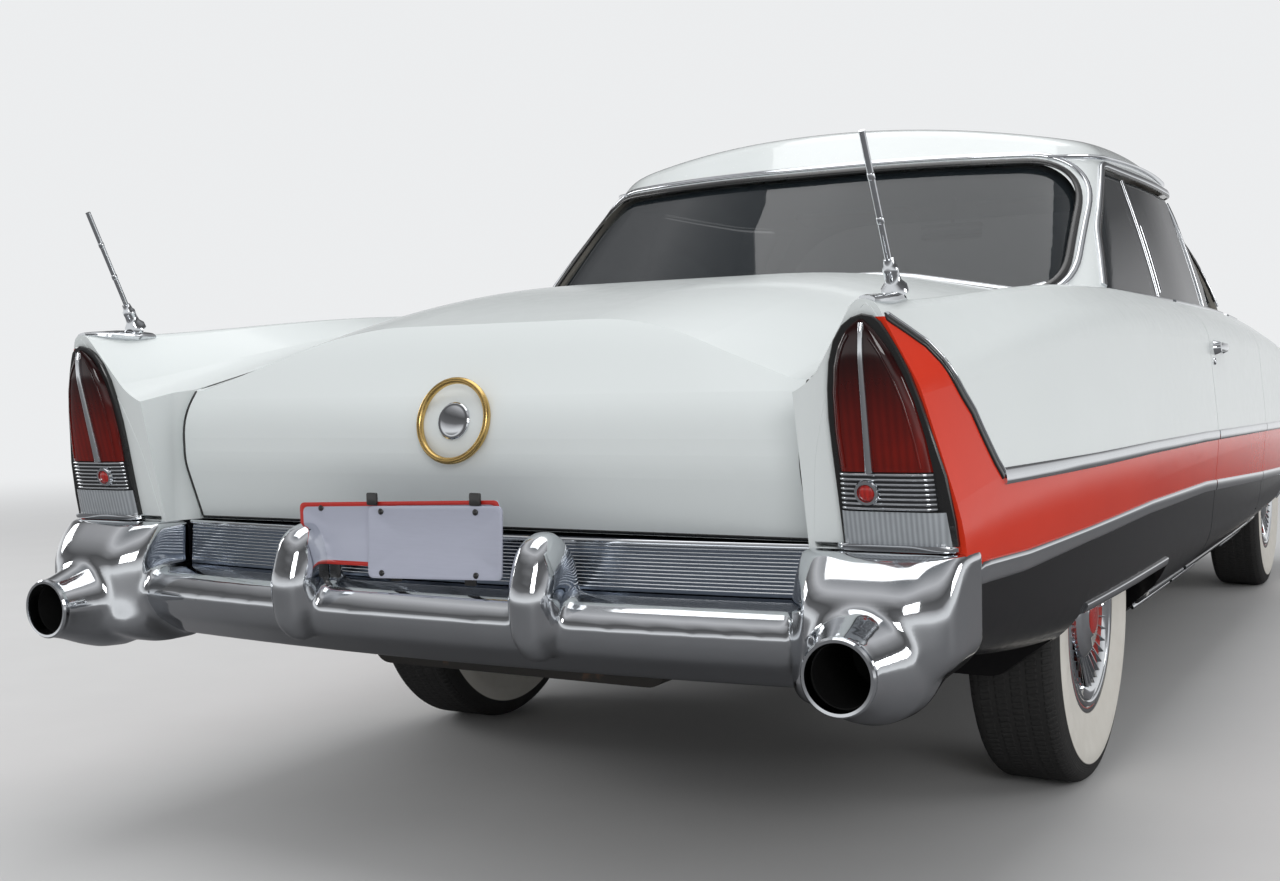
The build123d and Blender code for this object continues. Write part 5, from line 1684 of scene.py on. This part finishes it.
for k in range(8):
    side = 1 if k % 2 else -1
    reach = -1.78 + 0.12 * (k // 2)
    points = [Vector((0.016 * side, -1.150, engine_top + 0.066)), Vector((0.050 * side, -1.20, engine_top + 0.100)),
              Vector((0.090 * side, reach + 0.05, engine_top + 0.085)),
              Vector((0.150 * side, reach, engine_top + 0.040))]
    line = []
    for t in steps(0, 1, 0.08):
        a, b, c = (points[i].lerp(points[i + 1], t) for i in range(3))
        line.append((a.lerp(b, t).lerp(b.lerp(c, t), t), Vector((0, 0, 1))))
    leads.append(line)
moulding("plug_leads", "car", leads, 0.0075, 0.00375, rubber_and_painted_shade, 1.0)
radiator = plate(rounded(box_points(0.330, 0.195), [0.015] * 4, 0.02), 0.045, 0.006,
                 facing((0, -2.500, 0.590), (0, 1, 0)))
radiator_fin = plate(rounded(box_points(0.0015, 0.160), [0.001] * 4, 0.02), 0.004, 0,
                     facing((0.294, -2.4555, 0.585), (0, 1, 0)))
piece("radiator", radiator, "car", chassis)
piece("radiator_fins", rows.make("radiator_fins", radiator_fin, Count=50, Step=Vector((-0.012, 0, 0)), Finish=iron),
      "car", iron)


# Under the floor: bolts along the rails and round the axle's centre
bolt = spun([(-0.003, 0.0), (-0.003, 0.012), (0.0, 0.012), (0.007, 0.0105), (0.009, 0.006), (0.009, 0.0)], 6,
            (0.385, -0.90, 0.176), (0, 0, -1))
hit = touch("frame", (0.385, -0.90, 0.0), (0, 0, 1))
if hit:
    bolt = shifted(bolt, Matrix.Translation((0, 0, hit[0].z - 0.176)))
    piece("frame_bolts", pair(rows.make("frame_bolts", bolt, Count=9, Step=Vector((0, 0.145, 0)), Finish=iron)), "car",
          iron)
cover_bolt = spun([(-0.010, 0.0), (-0.010, 0.011), (0.004, 0.011), (0.008, 0.008), (0.008, 0.0)], 6, (0, 0, 0.098))
ring_of = circles.make("cover_bolts", cover_bolt, Count=10, Finish=iron)
hit = touch("rear_axle", (0.0, 1.80, wheel_z), (0, -1, 0))
if hit:
    dome = spun([(-0.030, 0.0), (-0.030, 0.112), (0.002, 0.112), (0.004, 0.088), (0.018, 0.078), (0.030, 0.045),
                 (0.034, 0.0)], 48)
    cover_mesh = joined(dome, ring_of)
    piece("axle_cover", shifted(cover_mesh, Matrix.Translation(hit[0]) @ Matrix.Rotation(pi / 2, 4, "Z")), "car",
          chassis)


# Stage, light and camera

def stage():
    size, height = 60.0, -0.0005
    mesh = bpy.data.meshes.new("floor")
    mesh.from_pydata([(-size, -size, height), (size, -size, height), (size, size, height), (-size, size, height)],
                     [], [(0, 1, 2, 3)])
    floor = bpy.data.objects.new("floor", mesh)
    bpy.context.scene.collection.objects.link(floor)
    f = Finish("pale_floor", Roughness=0.8)
    speck = f.grain(3, 3)
    # Painted reflection: where metal and glass reflect the floor, it turns dark grey
    ray_for_painted_dark_reflection = Reading(f, f.tree.nodes.new("ShaderNodeLightPath").outputs["Is Glossy Ray"])
    f.set(Base_Color=f.colour(ray_for_painted_dark_reflection, f.colour(speck, (0.66, 0.66, 0.66, 1), (0.62, 0.62, 0.62, 1)),
                              (0.14, 0.14, 0.145, 1)))
    # Far from the car the floor takes on the pale backdrop, for the camera and for what metal and glass show
    x, y, z = f.axes()
    far = (x.power(2) + y.power(2)).power(0.5).above(8.5, 4.5)
    rays = f.tree.nodes.new("ShaderNodeLightPath")
    seen = either(*(Reading(f, rays.outputs[ray]) for ray in ("Is Camera Ray", "Is Glossy Ray",
                                                            "Is Transmission Ray")))
    glow = f.add("Emission", {}, {"Color": BACKDROP})
    blend = f.add("MixShader", {}, {0: far * seen, 1: Reading(f, f.shader.outputs[0]), 2: glow})
    end = next(n for n in f.tree.nodes if n.type == "OUTPUT_MATERIAL")
    f.tree.links.new(blend.socket, end.inputs[0])
    mesh.materials.append(f.material)
    world = bpy.data.worlds.new("studio")
    bpy.context.scene.world = world
    world.use_nodes = True
    tree = world.node_tree
    tree.nodes.clear()
    path = tree.nodes.new("ShaderNodeLightPath")
    seen = tree.nodes.new("ShaderNodeMath")
    seen.operation = "MAXIMUM"
    tree.links.new(path.outputs["Is Camera Ray"], seen.inputs[0])
    tree.links.new(path.outputs["Is Transmission Ray"], seen.inputs[1])
    # A studio whose walls are pale low down and fall off to a dim ceiling, as bright metal shows them
    up = tree.nodes.new("ShaderNodeSeparateXYZ")
    tree.links.new(tree.nodes.new("ShaderNodeTexCoord").outputs["Generated"], up.inputs[0])
    wall = tree.nodes.new("ShaderNodeValToRGB")
    wall.color_ramp.elements[0].position, wall.color_ramp.elements[0].color = 0.02, (0.80, 0.81, 0.82, 1)
    wall.color_ramp.elements[1].position, wall.color_ramp.elements[1].color = 0.95, (0.20, 0.21, 0.22, 1)
    for place, level in ((0.16, 0.42), (0.22, 0.16), (0.42, 0.10), (0.60, 0.30), (0.75, 0.62)):
        stop = wall.color_ramp.elements.new(place)
        stop.color = (level, level, level * 1.02, 1)
    tree.links.new(up.outputs[2], wall.inputs[0])
    shown = tree.nodes.new("ShaderNodeMix")
    shown.data_type = "RGBA"
    tree.links.new(path.outputs["Is Glossy Ray"], shown.inputs[0])
    shown.inputs[6].default_value = (0.58, 0.585, 0.59, 1)
    tree.links.new(wall.outputs[0], shown.inputs[7])
    mixed = tree.nodes.new("ShaderNodeMix")
    mixed.data_type = "RGBA"
    tree.links.new(seen.outputs[0], mixed.inputs[0])
    tree.links.new(shown.outputs[2], mixed.inputs[6])
    mixed.inputs[7].default_value = BACKDROP
    background = tree.nodes.new("ShaderNodeBackground")
    tree.links.new(mixed.outputs[2], background.inputs["Color"])
    output = tree.nodes.new("ShaderNodeOutputWorld")
    tree.links.new(background.outputs[0], output.inputs[0])


def soft_light(name, place, aim, size, power):
    data = bpy.data.lights.new(name, "AREA")
    data.shape, data.size, data.size_y, data.energy = "RECTANGLE", size[0], size[1], power
    lamp = bpy.data.objects.new(name, data)
    bpy.context.scene.collection.objects.link(lamp)
    lamp.location = place
    lamp.rotation_euler = (Vector(aim) - Vector(place)).to_track_quat("-Z", "Y").to_euler()


def photograph_camera():
    """Where the photographer stood: behind the car's right corner, at shoulder height."""
    place = Vector((-1.5963, 4.6881, 0.9140))
    yaw, pitch, roll = radians(29.49), radians(-2.53), radians(-1.25)
    ahead = Vector((sin(yaw) * cos(pitch), -cos(yaw) * cos(pitch), sin(pitch)))
    right = ahead.cross(Vector((0, 0, 1))).normalized()
    up = right.cross(ahead)
    across = right * cos(roll) + up * sin(roll)
    upward = up * cos(roll) - right * sin(roll)
    data = bpy.data.cameras.new("photograph")
    data.sensor_width, data.lens, data.clip_end = 36.0, 41.62, 200
    camera = bpy.data.objects.new("photograph", data)
    bpy.context.scene.collection.objects.link(camera)
    turn = Matrix((across, upward, -ahead)).transposed().to_4x4()
    camera.matrix_world = Matrix.Translation(place) @ turn
    bpy.context.scene.camera = camera


stage()
soft_light("overhead", (0, 0.5, 6.5), (0, 0.5, 0), (5, 8), 215)
soft_light("behind", (-4.5, 8.0, 3.2), (0, 1.5, 0.6), (3, 2), 120)
soft_light("left_fill", (7, 2.0, 3.0), (0, 0, 0.6), (3, 2), 80)
soft_light("right_fill", (-8, -1.0, 2.5), (0, 0, 0.6), (4, 1.5), 90)
photograph_camera()
bpy.context.scene.view_settings.view_transform = "Standard"
